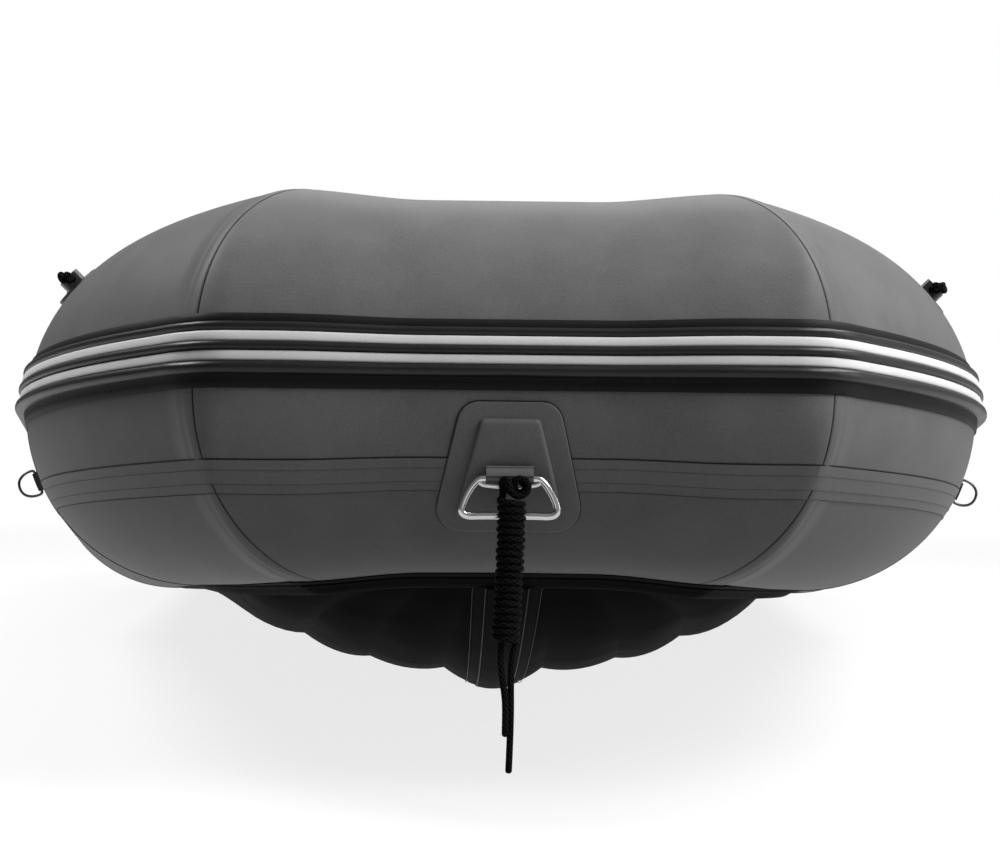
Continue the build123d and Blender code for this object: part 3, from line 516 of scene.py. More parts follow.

# Seam tapes, and black strips at their edges and at the mitre: painted shadow lines at the feet of the steps
MITRE_SHADOW_LINE = ((-0.0004, 0.0), (-0.0002, 0.00095), (0.0013, 0.00095), (0.0016, 0.0))
TAPE = ((-0.0006, -0.0006), (0.0, 0.0008), (0.016, 0.0009), (0.032, 0.0008), (0.0326, -0.0006))
TAPE_EDGE_SHADOW = ((-0.0016, -0.0006), (-0.0014, 0.0006), (-0.0004, 0.0006), (-0.0002, -0.0006))
# Painted shadow: a black strip along the foot of the bow panel's lapped edge at the mitre
ring_strip("mitre_shadow_line", along_lap, MITRE_SHADOW_LINE, step_shadow_black, 200)
for name, ring, start in (
    ("shoulder", lambda d, a, h: along_skin(BEND_LENGTH + mitre_reach(a) + d, a, h), -0.015),
    ("quarter", lambda d, a, h: stern_skin(QUARTER_RUN - quarter_reach(a) + d, a, h), 0.0),
    ("cone", lambda d, a, h: stern_skin(CONE_RUN + d, a, h), -0.034),
):
    ring_strip(f"{name}_tape", ring, [(start + d, lift) for d, lift in TAPE], tape_fabric)
    # Painted shadow: a black strip at the foot of the tape's edge
    ring_strip(f"{name}_line", ring, [(start + d, lift) for d, lift in TAPE_EDGE_SHADOW], step_shadow_black)
LOW_SEAM = (
    (-25.1, -0.0008), (-25.3, 0.0008), (-28.2, 0.0008), (-28.3, 0.0011),
    (-32.4, 0.0011), (-32.5, 0.0008), (-35.3, 0.0008), (-35.5, -0.0008),
)
# Painted shadow: a black strip along the low seam tape's upper edge
LOW_SEAM_SHADOW_LINE = ((-24.8, -0.0008), (-24.85, 0.0007), (-25.2, 0.0007), (-25.25, -0.0008))
long_strip("low_seam_tape", degrees_of(LOW_SEAM), tape_fabric, sharp=radians(20))
long_strip("low_seam_shadow_line", degrees_of(LOW_SEAM_SHADOW_LINE), step_shadow_black)
# Painted shade: thin grey lines on the steps between the tape's layers
for name, angle in (("upper", -28.2), ("middle", -32.4), ("lower", -35.5)):
    faint_shade_line = ((angle + 0.1, -0.0008), (angle + 0.08, 0.0014), (angle - 0.06, 0.0014), (angle - 0.08, -0.0008))
    long_strip(f"low_seam_{name}", degrees_of(faint_shade_line), step_shade_grey)

# Floor band: from the bow's lower skin down over the floor's edge, narrowing behind the mitre
BAND = (
    (0.0, -0.0008), (0.005, 0.0010), (0.18, 0.0012), (0.33, 0.0014), (0.35, 0.0028), (0.45, 0.0040),
    (0.6, 0.0070), (0.76, 0.0105), (0.90, 0.0125), (0.98, 0.0110), (1.0, -0.0010),
)
BAND_TOP, BAND_CORNER_TOP, BAND_AFT_TOP, BAND_LOW = -77.3, -80.3, -89, -96.3
BAND_BOW, BAND_AFT = 0.26, 1.55
BAND_THIN = 0.25
BOW_STEPS, AFT_STEPS = 20, 36


def band_angle(d, share):
    """Angle of the band at a distance past the mitre and a share of its width."""
    if d < 0:
        top = BAND_TOP - 3 * max(0, 1 + d / 0.3)
    else:
        top = max(BAND_CORNER_TOP - 50 * d, BAND_AFT_TOP)
    return radians(top + (BAND_LOW - top) * share)


def band_line(share, lift):
    line = []
    for i in range(BOW_STEPS):
        angle = band_angle(-BAND_BOW * (1 - i / BOW_STEPS), share)
        reach = BOW_HALF + mitre_reach(angle, lift + PANEL)
        line.append(bow_skin(reach * i / BOW_STEPS, angle, lift + PANEL))
    line.append(along_skin(0, band_angle(0, share), lift + PANEL))
    for i in range(1, AFT_STEPS + 1):
        d = BAND_AFT * (i / AFT_STEPS) ** 1.6
        line.append(along_skin(d, band_angle(d, share), min(lift, lift * max(BAND_THIN, 1.15 - d))))
    for i in range(1, 9):
        run = QUARTER_RUN + (TRANSOM_RUN - QUARTER_RUN) * i / 8
        line.append(stern_skin(run, band_angle(2.0, share), lift * BAND_THIN))
    return line


rows = [band_line(share, lift) for share, lift in BAND]
dress(grid_piece("floor_band", rows, sharp=radians(20)), band_rubber)

# Air floor: seven lobes under the boat, with the deck above
FLOOR_START = 0.006
KEEL_TOUCH = 0.900
LOBE_EDGES = (0.0, 0.163, 0.411, 0.629, 0.925, 1.0)
LOBE_RISE = (0.0, 0.187, 0.293, 0.513, 1.0, 1.0)
LOBE_SAG = (0.0, 0.009, 0.010, 0.018, 0.0)
KEEL_RISE, KEEL_LIFT = 0.142, 0.0033
FLOOR_INSET, FLOOR_UNDER_TUBE, FLOOR_LEAST = 0.012, 0.005, 0.008
FULL_DEPTH = 0.130
TRANSOM_RAKE, TRANSOM_FOOT = radians(8), 0.008


def ground_height(run):
    return (run * sin(SLOPE) - BOW_Z) / cos(SLOPE)


def keel_height(run):
    ahead = max(0, KEEL_TOUCH - run) / (KEEL_TOUCH - FLOOR_START)
    return ground_height(max(run, KEEL_TOUCH)) + KEEL_RISE * ahead**2 + KEEL_LIFT


def floor_half(run):
    return axis_x(run) - FLOOR_INSET


def floor_depth(run):
    return max(-TUBE_R + FLOOR_UNDER_TUBE - keel_height(run), FLOOR_LEAST)


def floor_bottom(run, share):
    """Height of the floor's underside at a share of its half width."""
    lobe = max(i for i in range(5) if share >= LOBE_EDGES[i] - 1e-6)
    t = (share - LOBE_EDGES[lobe]) / (LOBE_EDGES[lobe + 1] - LOBE_EDGES[lobe])
    deep = floor_depth(run)
    if lobe == 0:
        return keel_height(run) + deep * LOBE_RISE[1] * t * t
    rise = LOBE_RISE[lobe] + (LOBE_RISE[lobe + 1] - LOBE_RISE[lobe]) * t
    sag = max(LOBE_SAG[lobe] * min(1, deep / FULL_DEPTH), 0.001)
    return keel_height(run) + deep * rise - 4 * sag * t * (1 - t)


def at_transom(x, height):
    """Point of the floor against the raked transom."""
    foot = ground_height(TRANSOM_RUN) + TRANSOM_FOOT
    return hull_point(x, TRANSOM_RUN + (height - foot) * tan(TRANSOM_RAKE) - 0.0003, height)


floor_runs = [FLOOR_START + (KEEL_TOUCH - FLOOR_START) * (i / 36) ** 0.8 for i in range(37)]
floor_end = TRANSOM_RUN - 0.02
floor_runs += [KEEL_TOUCH + (floor_end - KEEL_TOUCH) * i / 16 for i in range(1, 17)]
shares = [a + (b - a) * i / 9 for a, b in zip(LOBE_EDGES, LOBE_EDGES[1:]) for i in range(9)] + [1.0]
rows = [[hull_point(floor_half(run) * share, run, floor_bottom(run, share)) for share in shares] for run in floor_runs]
rows.append([at_transom(floor_half(TRANSOM_RUN) * share, floor_bottom(TRANSOM_RUN, share)) for share in shares])
floor_skin = dress(grid_piece("floor_skin", rows, sharp=radians(24)), hull_fabric)
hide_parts("air_floor")
DECK, DECK_START, DECK_BEND = -0.120, 0.19, 0.45
DECK_FIT, DECK_FIT_BOW = 0.98, 0.7
deck_in = sqrt(TUBE_R**2 - DECK**2) - 0.004
rows = []
for i in range(51):
    run = DECK_START + (floor_end - DECK_START) * i / 50
    half = axis_x(run) - deck_in * (DECK_FIT if run > DECK_BEND else DECK_FIT_BOW)
    rows.append([hull_point(half * k / 16, run, DECK) for k in range(17)])
rows.append([at_transom((SIDE_X - deck_in * DECK_FIT) * k / 16, DECK) for k in range(17)])
deck_mat = surface("deck_mat", 0.03, 0.05, (0.55, 0.7), grain=4.0, dust=0.1)
dress(grid_piece("deck_skin", rows), deck_mat)
KEEL_HALF, KEEL_THICK, KEEL_EDGE_IN = 0.040, 0.0013, 0.001
rows = []
for run in floor_runs:
    row = []
    for i in range(7):
        x = KEEL_HALF * i / 6
        lift = -KEEL_THICK if i < 6 else KEEL_EDGE_IN
        row.append(hull_point(x, run, floor_bottom(run, x / floor_half(run)) + lift))
    rows.append(row)
dress(grid_piece("keel_strip", rows), band_rubber)


# Bow patch, its raised pad and the strap, by distance across and height from the bow's axis
def bow_front(x, z, lift):
    return bow_skin(x, asin(z / (TUBE_R - bow_drawn(x))) - SLOPE, lift)


def rounded_outline(corners, radii, steps=8):
    """Closed outline through corners that are rounded by circular arcs."""
    points = []
    for i, (corner, radius) in enumerate(zip(corners, radii)):
        here = Vector(corner)
        before = (Vector(corners[i - 1]) - here).normalized()
        after = (Vector(corners[(i + 1) % len(corners)]) - here).normalized()
        half = before.angle(after) / 2
        centre = here + (before + after).normalized() * radius / sin(half)
        start = here + before * radius / tan(half)
        finish = here + after * radius / tan(half)
        sweep = (start - centre).angle_signed(finish - centre)
        for k in range(steps + 1):
            points.append(centre + Matrix.Rotation(-sweep * k / steps, 2) @ (start - centre))
    return points


def fill_between(outline, spacing):
    """Extra points along an outline's long runs."""
    points = []
    for a, b in zip(outline, outline[1:] + outline[:1]):
        count = max(1, int((b - a).length / spacing))
        points += [a.lerp(b, k / count) for k in range(count)]
    return points


def bow_plate(name, corners, radii, rings, material, taper=0.0):
    """Plate on the bow: rings of outline share and height, from its edge to its middle."""
    outline = fill_between(rounded_outline(corners, radii), 0.004)
    middle = sum(outline, Vector((0, 0))) / len(outline)
    rows = []
    for p in outline:
        width = 1 - taper * min(max((middle.y - p.y) / 0.06, 0), 1)
        spots = [(middle + (p - middle) * (1 + (share - 1) * width), lift) for share, lift in rings]
        rows.append([bow_front(spot.x, spot.y, lift) for spot, lift in spots])
    return dress(grid_piece(name, rows, closed=True, mirror=False), material)


FITTING_X = -0.0038
PATCH = ((0.049, -0.015), (0.080, -0.147), (-0.080, -0.147), (-0.049, -0.015))
PATCH = [(x + FITTING_X, z) for x, z in PATCH]
PATCH_BENDS = (0.022, 0.024, 0.024, 0.022)
PATCH_THICK = 0.0034
PATCH_EDGE_SHADOW = ((1.0115, 0.0), (1.0105, 0.0027), (1.001, 0.0027), (0.999, 0.0))
PAD = ((0.0300, -0.0316), (0.0565, -0.1315), (-0.0565, -0.1315), (-0.0300, -0.0316))
PAD = [(x + FITTING_X, z) for x, z in PAD]
PAD_BENDS = (0.006, 0.008, 0.008, 0.006)
PAD_TOP = 0.0093
thin = [(1.0, 0.0), (0.994, 0.0032), (0.97, PATCH_THICK)]
thin += [(0.9 - 0.1 * i, PATCH_THICK) for i in range(9)] + [(0.001, PATCH_THICK)]
patch = bow_plate("patch_plate", PATCH, PATCH_BENDS, thin, tape_fabric)
# Painted shadow: a black strip round the foot of the patch's edge, narrower towards the bottom
bow_plate("patch_edge_shadow", PATCH, PATCH_BENDS, PATCH_EDGE_SHADOW, step_shadow_black, taper=0.8)
raised = [(1.0, 0.0030), (0.992, 0.0044), (0.980, 0.0068), (0.968, 0.0084), (0.950, 0.0091), (0.9, PAD_TOP)]
raised += [(0.8 - 0.1 * i, PAD_TOP) for i in range(8)] + [(0.001, PAD_TOP)]
bow_plate("patch_pad", PAD, PAD_BENDS, raised, tape_fabric)
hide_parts("bow_patch")

ring_low, ring_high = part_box("bow_ring")
SOURCE_WIRE_R = 0.00375
BAR = Vector((FITTING_X, (ring_low.y + ring_high.y) / 2, ring_high.z - SOURCE_WIRE_R))
STRAP = (
    (0.0040, 0.0116), (-0.0015, 0.0122), (-0.0036, 0.0119), (-0.0041, 0.0109), (-0.0036, 0.0101),
    (-0.0060, 0.0086), (-0.0084, 0.0044), (-0.0088, 0.0022), (-0.0070, 0.0014), (-0.0072, -0.0018),
    (-0.0045, -0.0036), (0.0000, -0.0042), (0.0060, -0.0036), (0.0095, 0.0000),
)
STRAP_STATIONS = (
    (-0.0240, 0.94), (-0.0236, 1.0), (-0.012, 1.0), (0.0, 1.0), (0.012, 1.0), (0.0236, 1.0), (0.0240, 0.94),
)
rows = [[BAR + Vector((x, y * size, z * size)) for x, size in STRAP_STATIONS] for y, z in STRAP]
strap = dress(grid_piece("bow_webbing", rows, closed=True, mirror=False, sharp=radians(32)), tape_fabric)
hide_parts("bow_strap")


# Ropes and bent wire: tubes along smooth splines
def spline_points(route, closed=False, resolution=6):
    """Points of the NURBS spline through a route's control points."""
    curve = bpy.data.curves.new("route", "CURVE")
    curve.dimensions = "3D"
    spline = curve.splines.new("NURBS")
    spline.points.add(len(route) - 1)
    for point, place in zip(spline.points, route):
        point.co = (*place, 1)
    spline.order_u = 3
    spline.use_endpoint_u = not closed
    spline.use_cyclic_u = closed
    spline.resolution_u = resolution
    holder = bpy.data.objects.new("route", curve)
    mesh = bpy.data.meshes.new_from_object(holder)
    points = [v.co.copy() for v in mesh.vertices]
    bpy.data.objects.remove(holder)
    bpy.data.meshes.remove(mesh)
    bpy.data.curves.remove(curve)
    return [p for i, p in enumerate(points) if i == 0 or (p - points[i - 1]).length > 1e-5]


ROPE_TIP_FACE = 0.35
ROPE_TIP = ((0.72, 0.18), (0.92, 0.45), (1.0, 0.85))


def tube_piece(name, points, radius, sides=12, closed=False):
    """Tube along points, with its turn and length as UV, and rounded ends."""
    sizes = [1.0] * len(points)
    if not closed:
        first, last = (points[1] - points[0]).normalized(), (points[-2] - points[-1]).normalized()
        opening = [points[0]] + [points[0] + first * radius * depth for _, depth in ROPE_TIP]
        closing = [points[-1] + last * radius * depth for _, depth in reversed(ROPE_TIP)] + [points[-1]]
        points = opening + points[1:-1] + closing
        tip = [ROPE_TIP_FACE] + [size for size, _ in ROPE_TIP]
        sizes = tip + sizes[1:-1] + tip[::-1]
    count = len(points)
    verts, faces, uvs = [], [], []
    side = None
    travelled = [0.0]
    for a, b in zip(points, points[1:]):
        travelled.append(travelled[-1] + (b - a).length)
    travelled.append(travelled[-1] + (points[0] - points[-1]).length)
    for i, point in enumerate(points):
        before = points[i - 1] if i or closed else point
        after = points[(i + 1) % count] if i + 1 < count or closed else point
        tangent = (after - before).normalized()
        if side is None:
            side = tangent.orthogonal()
        side = (side - tangent * side.dot(tangent)).normalized()
        other = tangent.cross(side)
        size = radius * sizes[i]
        verts += [point + (side * cos(a) + other * sin(a)) * size for a in turns(sides)]
    for i in range(count - 1 + closed):
        for j in range(sides):
            k, n = (j + 1) % sides, (i + 1) % count
            faces.append((i * sides + j, i * sides + k, n * sides + k, n * sides + j))
            v0, v1 = travelled[i] / (2 * radius), travelled[i + 1] / (2 * radius)
            uvs += [(j / sides, v0), ((j + 1) / sides, v0), ((j + 1) / sides, v1), (j / sides, v1)]
    if not closed:
        faces += [tuple(range(sides))[::-1], tuple(range((count - 1) * sides, count * sides))]
        uvs += [(0.5, 0.0)] * (2 * sides)
    return new_piece(name, verts, faces, uvs)


# Painter: a knot on the ring, a wrapped hank and two bare ends, in millimetres from the ring's bar
ROPE_R = 0.0035
KNOT = (
    (4.0, 6.0, -15.5), (4.0, -4.0, -16.0), (-2.5, -11.0, -12.0), (2.5, -13.0, -2.5), (10.0, -13.0, -1.0),
    (16.5, -13.0, -8.0), (11.5, -13.5, -15.5), (5.0, -16.0, -12.5), (3.5, -19.8, -3.5), (9.5, -20.0, 1.2),
    (18.0, -20.0, -3.8), (18.0, -20.0, -12.5), (11.5, -21.0, -17.6), (3.5, -22.8, -16.8), (0.0, -24.2, -9.5),
    (-2.5, -21.5, -0.6), (-8.3, -14.0, -1.5), (-7.2, -13.0, -12.0), (-7.2, -17.0, -18.5),
)
HANK_Y = -0.01855
HANK_TOP_X, HANK_FOOT_X = 0.0018, -0.0032
HANK_FROM, HANK_TO = -0.0222, -0.1605
HANK_TURNS = 19.5
HANK_COIL_R = 0.0113
LONG_END = ((7.5, -172.0), (5.5, -196.7), (6.5, -240.7), (4.5, -293.0))
SHORT_END = (
    (1.0, 0.0, -140.0), (-1.5, 0.0, -152.0), (-5.0, -1.0, -168.5), (-4.0, -3.0, -190.7), (-0.5, -5.0, -212.0),
    (1.0, -5.5, -228.0), (0.5, -5.5, -256.0),
)
route = [BAR + Vector(p) / 1000 for p in KNOT]
coil_points = int(HANK_TURNS * 12)
for i in range(coil_points + 1):
    share = i / coil_points
    angle = pi + 2 * pi * HANK_TURNS * share
    x = HANK_TOP_X + (HANK_FOOT_X - HANK_TOP_X) * share**1.6
    swell = HANK_COIL_R * (1 + 0.05 * sin(5 * angle / 7) + 0.06 * max(0, 1 - share * 14))
    z = HANK_FROM + (HANK_TO - HANK_FROM) * share
    route.append(BAR + Vector((x + swell * cos(angle), HANK_Y + swell * sin(angle), z)))
route += [BAR + Vector((HANK_FOOT_X + x / 1000, HANK_Y, z / 1000)) for x, z in LONG_END]
points = spline_points(route)
painter = dress(tube_piece("painter", points, ROPE_R), rope_fabric)
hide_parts("painter_knot", "painter_hank", "painter_long_end")
points = spline_points([BAR + Vector((HANK_FOOT_X, HANK_Y, 0)) + Vector(p) / 1000 for p in SHORT_END])
short_end = dress(tube_piece("painter_tail", points, ROPE_R), rope_fabric)
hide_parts("painter_short_end")

# Lifelines through their saddles, with a stopper knot at each end
LIFELINE_RUNS = (0.340, 0.780, 1.210, 1.660, 2.110, 2.570)
LIFELINE_ANGLE, LIFELINE_SAG = radians(44), radians(7)
LIFELINE_SAGS = ((0.27, 0.7), (0.5, 1.0), (0.73, 0.7))
ROPE_LIFT, ROPE_TAIL, ROPE_DIP, HOLE_REACH = 0.012, 0.034, 0.004, 0.012
FORE_KNOT_AHEAD, FORE_KNOT_LOW, FORE_KNOT_OUT = 0.030, 0.034, 0.007
STOPPER = 0.0024


def on_tube(run, angle, lift):
    return skin_point(axis_x(run), run, axis_turn(run), angle, lift)


def tube_heading(run):
    turn = axis_turn(run)
    return ACROSS * cos(turn) + ALONG * sin(turn)


route = []
for i, run in enumerate(LIFELINE_RUNS):
    hole, heading = on_tube(run, LIFELINE_ANGLE, ROPE_LIFT), tube_heading(run)
    route += [hole - heading * ROPE_TAIL, hole + heading * ROPE_TAIL]
    if i + 1 < len(LIFELINE_RUNS):
        gap = LIFELINE_RUNS[i + 1] - run
        for share, sag in LIFELINE_SAGS:
            angle = LIFELINE_ANGLE - sag * LIFELINE_SAG
            route.append(on_tube(run + share * gap, angle, ROPE_LIFT - ROPE_DIP * sag))
first_run = LIFELINE_RUNS[0]
route[:1] = [
    on_tube(first_run - FORE_KNOT_AHEAD, LIFELINE_ANGLE - FORE_KNOT_LOW, ROPE_LIFT + FORE_KNOT_OUT),
    on_tube(first_run, LIFELINE_ANGLE, ROPE_LIFT) - tube_heading(first_run) * HOLE_REACH,
]
for name, side in (("port", 1), ("starboard", -1)):
    points = spline_points([Vector((p.x * side, p.y, p.z)) for p in route], resolution=16)
    line = dress(tube_piece(f"lifeline_rope_{name}", points, ROPE_R), rope_fabric)
    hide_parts(f"lifeline_{name}")
    for where, centre in (("fore", points[0]), ("aft", points[-1])):
        tangle = []
        for t in turns(30):
            turn = Vector((sin(t) + 2 * sin(2 * t), cos(t) - 2 * cos(2 * t), -1.6 * sin(3 * t)))
            tangle.append(centre + turn * STOPPER)
        knot = tube_piece(f"stopper_{where}_{name}", spline_points(tangle, closed=True), ROPE_R, closed=True)
        dress(knot, rope_fabric)

# Bow ring: bent wire with a lighter bar below the strap
RING = (
    (12.0, -0.5), (24.0, -0.5), (31.0, -1.0), (36.0, -6.0), (41.5, -13.5), (46.5, -24.0), (49.0, -33.5),
    (43.0, -38.4), (30.0, -37.9), (12.0, -37.7),
)
RING_TOP, RING_LOW = -0.5, -37.8
CROSS_HALF = ((31.5, -1.0), (30.5, -5.2), (24.0, -7.2), (14.0, -8.0))
CROSS_LOW = -8.6
RING_R, CROSS_R = 0.0039, 0.0027
ring_route = ((0.0, RING_TOP), *RING, (0.0, RING_LOW), *((-x, z) for x, z in reversed(RING)))
wire = spline_points([BAR + Vector((x, 0, z)) / 1000 for x, z in ring_route], closed=True)
ring = dress(tube_piece("bow_ring_wire", wire, RING_R, 14, closed=True), stainless)
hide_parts("bow_ring")
cross_route = (*((-x, z) for x, z in CROSS_HALF), (0.0, CROSS_LOW), *reversed(CROSS_HALF))
cross = spline_points([BAR + Vector((x, -0.5, z)) / 1000 for x, z in cross_route])
dress(tube_piece("bow_ring_bar", cross, CROSS_R), stainless)

# Side rings: D-shaped wire under a webbing loop, on patches that follow the tubes
SIDE_RING_RUN = SHOULDER_RUN + 0.077
SIDE_RING_ANGLE = -0.0856 / TUBE_R
SIDE_PATCH = ((0.042, 0.050), (0.042, -0.050), (-0.042, -0.050), (-0.042, 0.050))
SIDE_PATCH_BEND = 0.022
SIDE_PATCH_RINGS = ((1.0, -0.0004), (0.995, 0.0012), (0.97, 0.0017), (0.6, 0.0017), (0.0, 0.0017))
SIDE_WIRE = ((6.0, 4.6), (11.5, 4.6), (15.2, 4.8), (16.4, 10.0), (15.0, 19.0), (9.5, 27.0))
SIDE_BAR, SIDE_WIRE_END, SIDE_WIRE_R = 4.6, 29.6, 0.0017
LOOP = ((-0.026, 0.0008), (-0.0255, 0.0028), (-0.009, 0.0032), (-0.0055, 0.0058), (-0.003, 0.0080), (0.0, 0.0086))
LOOP_SPANS = ((-0.0118, 0.0), (-0.0116, 0.8), (-0.0110, 1.0), (-0.004, 1.0))


def side_fitting(along, tall, lift):
    return on_tube(SIDE_RING_RUN + along, SIDE_RING_ANGLE + tall / TUBE_R, lift)


outline = fill_between(rounded_outline(SIDE_PATCH, (SIDE_PATCH_BEND,) * 4), 0.004)
rows = [[side_fitting(p.x * share, p.y * share, lift) for share, lift in SIDE_PATCH_RINGS] for p in outline]
plates = dress(grid_piece("side_patch_plates", rows, closed=True, flip=True), tape_fabric)
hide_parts("side_ring_patches")
loop = LOOP + tuple((-along, lift) for along, lift in reversed(LOOP[:-1]))
spans = LOOP_SPANS + tuple((-tall, full) for tall, full in reversed(LOOP_SPANS))
rows = [[side_fitting(along, tall, lift * full) for along, lift in loop] for tall, full in spans]
dress(grid_piece("side_webbing", rows, sharp=radians(40)), flange_rubber)
route = ((0.0, SIDE_BAR), *SIDE_WIRE, (0.0, SIDE_WIRE_END), *((-tall, lift) for tall, lift in reversed(SIDE_WIRE)))
foot = side_fitting(0, 0, 0)
outward = (side_fitting(0, 0, 0.1) - foot).normalized()
upward = (side_fitting(0, 0.001, 0) - side_fitting(0, -0.001, 0)).normalized()
for name, side in (("port", 1), ("starboard", -1)):
    bent = [foot + upward * (tall / 1000) + outward * (lift / 1000) for tall, lift in route]
    wire = spline_points([Vector((p.x * side, p.y, p.z)) for p in bent], closed=True)
    ring = tube_piece(f"side_ring_{name}", wire, SIDE_WIRE_R, closed=True)
    dress(ring, dull_steel)
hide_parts("side_rings")

# Keel guard's own black, and the welted edges of the keel strip and its guard
nodes["keel_guard"].data.materials[0] = band_rubber
WELT_SINK = 0.0022
for name, off, radius in (("guard_edges", 0.0235, 0.0009), ("strip_edges", 0.0380, 0.0005)):
    rows = []
    for angle in turns(8):
        x, lift = off + radius * cos(angle), radius * sin(angle) - WELT_SINK
        rows.append([hull_point(x, run, floor_bottom(run, off / floor_half(run)) + lift) for run in floor_runs])
    dress(grid_piece(f"keel_{name}", rows, closed=True), bead_rubber)

# Bolts of the motor plates and screws of the oarlock bases
DOME = ((0.0052, 0.0), (0.0052, 0.0012), (0.0046, 0.0024), (0.0030, 0.0032), (0.0010, 0.0035))
WASHER = ((0.0085, 0.0), (0.0085, 0.0007), (0.0080, 0.0010), (0.0040, 0.0010))


def bolt_heads(name, spots, axis, scale, sides=16):
    """Domed heads on washers, turned from profiles that go from foot to top."""
    side = axis.orthogonal().normalized()
    other = axis.cross(side)
    ring = [side * cos(a) + other * sin(a) for a in turns(sides)]
    verts, faces = [], []
    for spot in spots:
        for profile in (WASHER, DOME):
            for radius, height in profile:
                verts += [spot + p * radius * scale + axis * height * scale for p in ring]
            first = len(verts) - len(profile) * sides
            for low in range(first, len(verts) - sides, sides):
                for j in range(sides):
                    k = (j + 1) % sides
                    faces.append((low + j, low + k, low + sides + k, low + sides + j))
            faces.append(tuple(range(len(verts) - sides, len(verts))))
    return dress(new_piece(name, verts, faces, sharp=radians(50)), stainless)


transom_up = ALONG * sin(TRANSOM_RAKE) + UP * cos(TRANSOM_RAKE)
transom_ahead = UP * sin(TRANSOM_RAKE) - ALONG * cos(TRANSOM_RAKE)
transom_foot = hull_point(0, TRANSOM_RUN, ground_height(TRANSOM_RUN) + TRANSOM_FOOT)
for name, ahead, facing in (("inner", 0.006, 1), ("outer", -0.042, -1)):
    low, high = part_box(f"motor_plate_{name}")
    half_x, mid = (high.x - low.x) / 2, (low + high) / 2
    level = (mid - transom_foot).dot(transom_up)
    half_z = (high.z - low.z) / 2 - 0.004
    spots = [
        transom_foot + transom_up * (level + half_z * v) + transom_ahead * ahead + ACROSS * half_x * u
        for u in (-0.82, 0.0, 0.82) for v in (-0.68, 0.68)
    ]
    bolt_heads(f"motor_plate_bolts_{name}", spots, transom_ahead * facing, 1.3)
OARLOCK_AFT, OARLOCK_BASE, SCREW_CIRCLE = 0.433, 0.009, 0.035
oarlock_run = QUARTER_RUN + OARLOCK_AFT
for name, side in (("port", 1), ("starboard", -1)):
    foot = hull_point(SIDE_X * side, oarlock_run, TUBE_R + OARLOCK_BASE)
    spots = [foot + (ACROSS * cos(a) + ALONG * sin(a)) * SCREW_CIRCLE for a in turns(4)]
    bolt_heads(f"oarlock_screws_{name}", spots, UP, 0.8)

# Pale floor, which camera and mirror rays see nearly white and which fades out far from the boat
GROUND, FADE_FROM, FADE_TO = 9, 2.6, 4.8
BOUNCE, SEEN, WHITENING = 0.28, 0.90, 0.80
corners = [(-GROUND, -GROUND, 0), (GROUND, -GROUND, 0), (GROUND, GROUND, 0), (-GROUND, GROUND, 0)]
ground_mesh = bpy.data.meshes.new("ground")
ground_mesh.from_pydata(corners, [], [(0, 1, 2, 3)])
ground = bpy.data.objects.new("ground", ground_mesh)
scene.collection.objects.link(ground)
white = bpy.data.materials.new("pale_floor")
white.use_nodes = True
tree = white.node_tree
tree.nodes.clear()
output = tree.nodes.new("ShaderNodeOutputMaterial")
diffuse = add_node(tree, "ShaderNodeBsdfDiffuse")
glow = add_node(tree, "ShaderNodeEmission", Color=(1, 1, 1, 1), Strength=1.0)
path = tree.nodes.new("ShaderNodeLightPath")
tree.links.new(mapped(tree, path.outputs["Is Camera Ray"], 0.0, 1.0, BOUNCE, SEEN), diffuse.inputs["Color"])
seen = maths(tree, "MAXIMUM", path.outputs["Is Camera Ray"], path.outputs["Is Glossy Ray"])
seen = maths(tree, "MAXIMUM", seen, path.outputs["Is Transmission Ray"])
mix = tree.nodes.new("ShaderNodeMixShader")
tree.links.new(maths(tree, "MULTIPLY", seen, WHITENING), mix.inputs[0])
tree.links.new(diffuse.outputs[0], mix.inputs[1])
tree.links.new(glow.outputs[0], mix.inputs[2])
clear = tree.nodes.new("ShaderNodeBsdfTransparent")
spot = tree.nodes.new("ShaderNodeTexCoord").outputs["Object"]
reach = add_node(tree, "ShaderNodeVectorMath", (("operation", "LENGTH"),))
tree.links.new(spot, reach.inputs[0])
fade = tree.nodes.new("ShaderNodeMixShader")
tree.links.new(mapped(tree, reach.outputs["Value"], FADE_FROM, FADE_TO), fade.inputs[0])
tree.links.new(mix.outputs[0], fade.inputs[1])
tree.links.new(clear.outputs[0], fade.inputs[2])
tree.links.new(fade.outputs[0], output.inputs[0])
ground.data.materials.append(white)

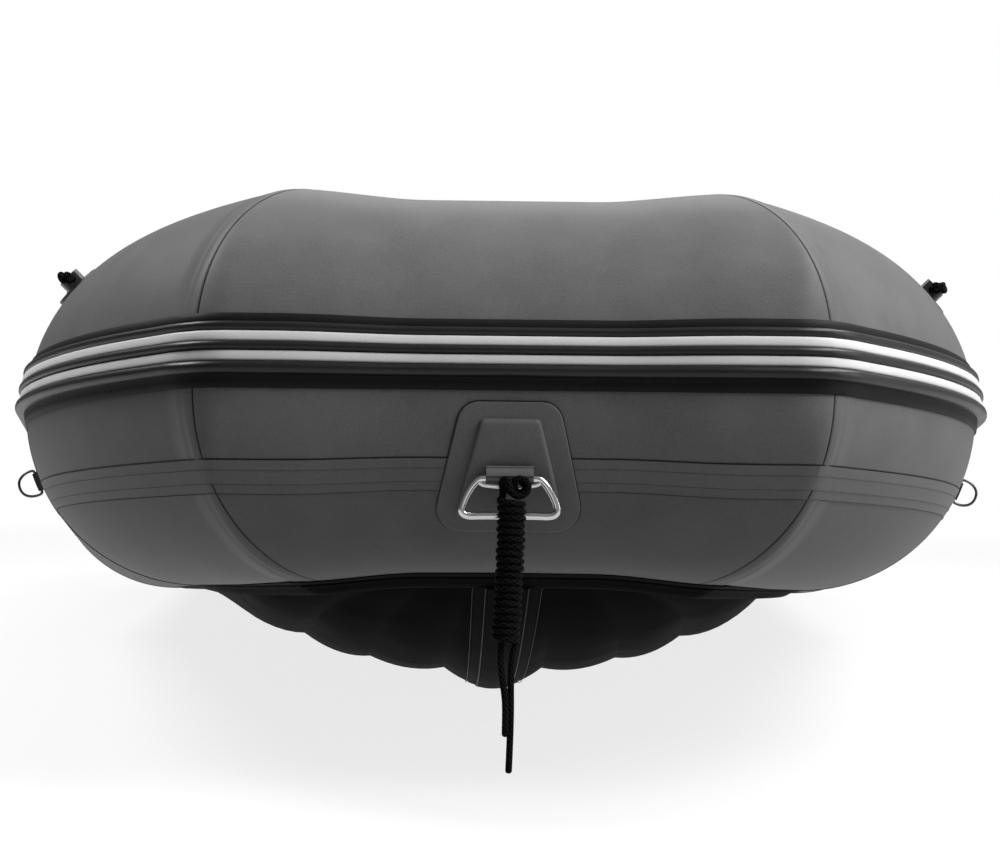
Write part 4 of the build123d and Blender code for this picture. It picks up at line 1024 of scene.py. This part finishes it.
# Soft light: dimmer surroundings on the left, a white backdrop for the camera, and five lamps
AMBIENT_LEFT, AMBIENT_RIGHT = 0.07, 0.45
world = bpy.data.worlds.new("studio")
scene.world = world
world.use_nodes = True
tree = world.node_tree
tree.nodes.clear()
output = tree.nodes.new("ShaderNodeOutputWorld")
ambient = add_node(tree, "ShaderNodeBackground", Color=(1, 1, 1, 1))
heading_axes = tree.nodes.new("ShaderNodeSeparateXYZ")
tree.links.new(tree.nodes.new("ShaderNodeTexCoord").outputs["Generated"], heading_axes.inputs[0])
brightness = mapped(tree, heading_axes.outputs[0], -1.0, 1.0, AMBIENT_LEFT, AMBIENT_RIGHT)
tree.links.new(brightness, ambient.inputs["Strength"])
backdrop = add_node(tree, "ShaderNodeBackground", Color=(1, 1, 1, 1), Strength=1.0)
path = tree.nodes.new("ShaderNodeLightPath")
mix = tree.nodes.new("ShaderNodeMixShader")
seen = maths(tree, "MAXIMUM", path.outputs["Is Camera Ray"], path.outputs["Is Transmission Ray"])
tree.links.new(seen, mix.inputs[0])
tree.links.new(ambient.outputs[0], mix.inputs[1])
tree.links.new(backdrop.outputs[0], mix.inputs[2])
tree.links.new(mix.outputs[0], output.inputs[0])


def area_light(name, place, target, size, power):
    lamp = bpy.data.lights.new(name, "AREA")
    lamp.shape = "RECTANGLE"
    lamp.size, lamp.size_y = size
    lamp.energy = power
    light = bpy.data.objects.new(name, lamp)
    light.location = place
    light.rotation_euler = (Vector(target) - Vector(place)).to_track_quat("-Z", "Y").to_euler()
    scene.collection.objects.link(light)


area_light("key", (2.4, -2.9, 3.2), (0.2, -1.0, 0.45), (2.0, 2.0), 138)
area_light("left", (-2.7, -0.6, 3.5), (-0.4, -1.0, 0.5), (1.8, 1.8), 152)
area_light("right", (2.7, -0.6, 3.5), (0.4, -1.0, 0.5), (1.8, 1.8), 102)
area_light("side", (3.4, -1.6, 0.9), (0.6, -1.0, 0.4), (1.4, 1.4), 22)
area_light("back", (0.5, 2.5, 3.6), (0, 0, 0.4), (3.0, 2.0), 45)
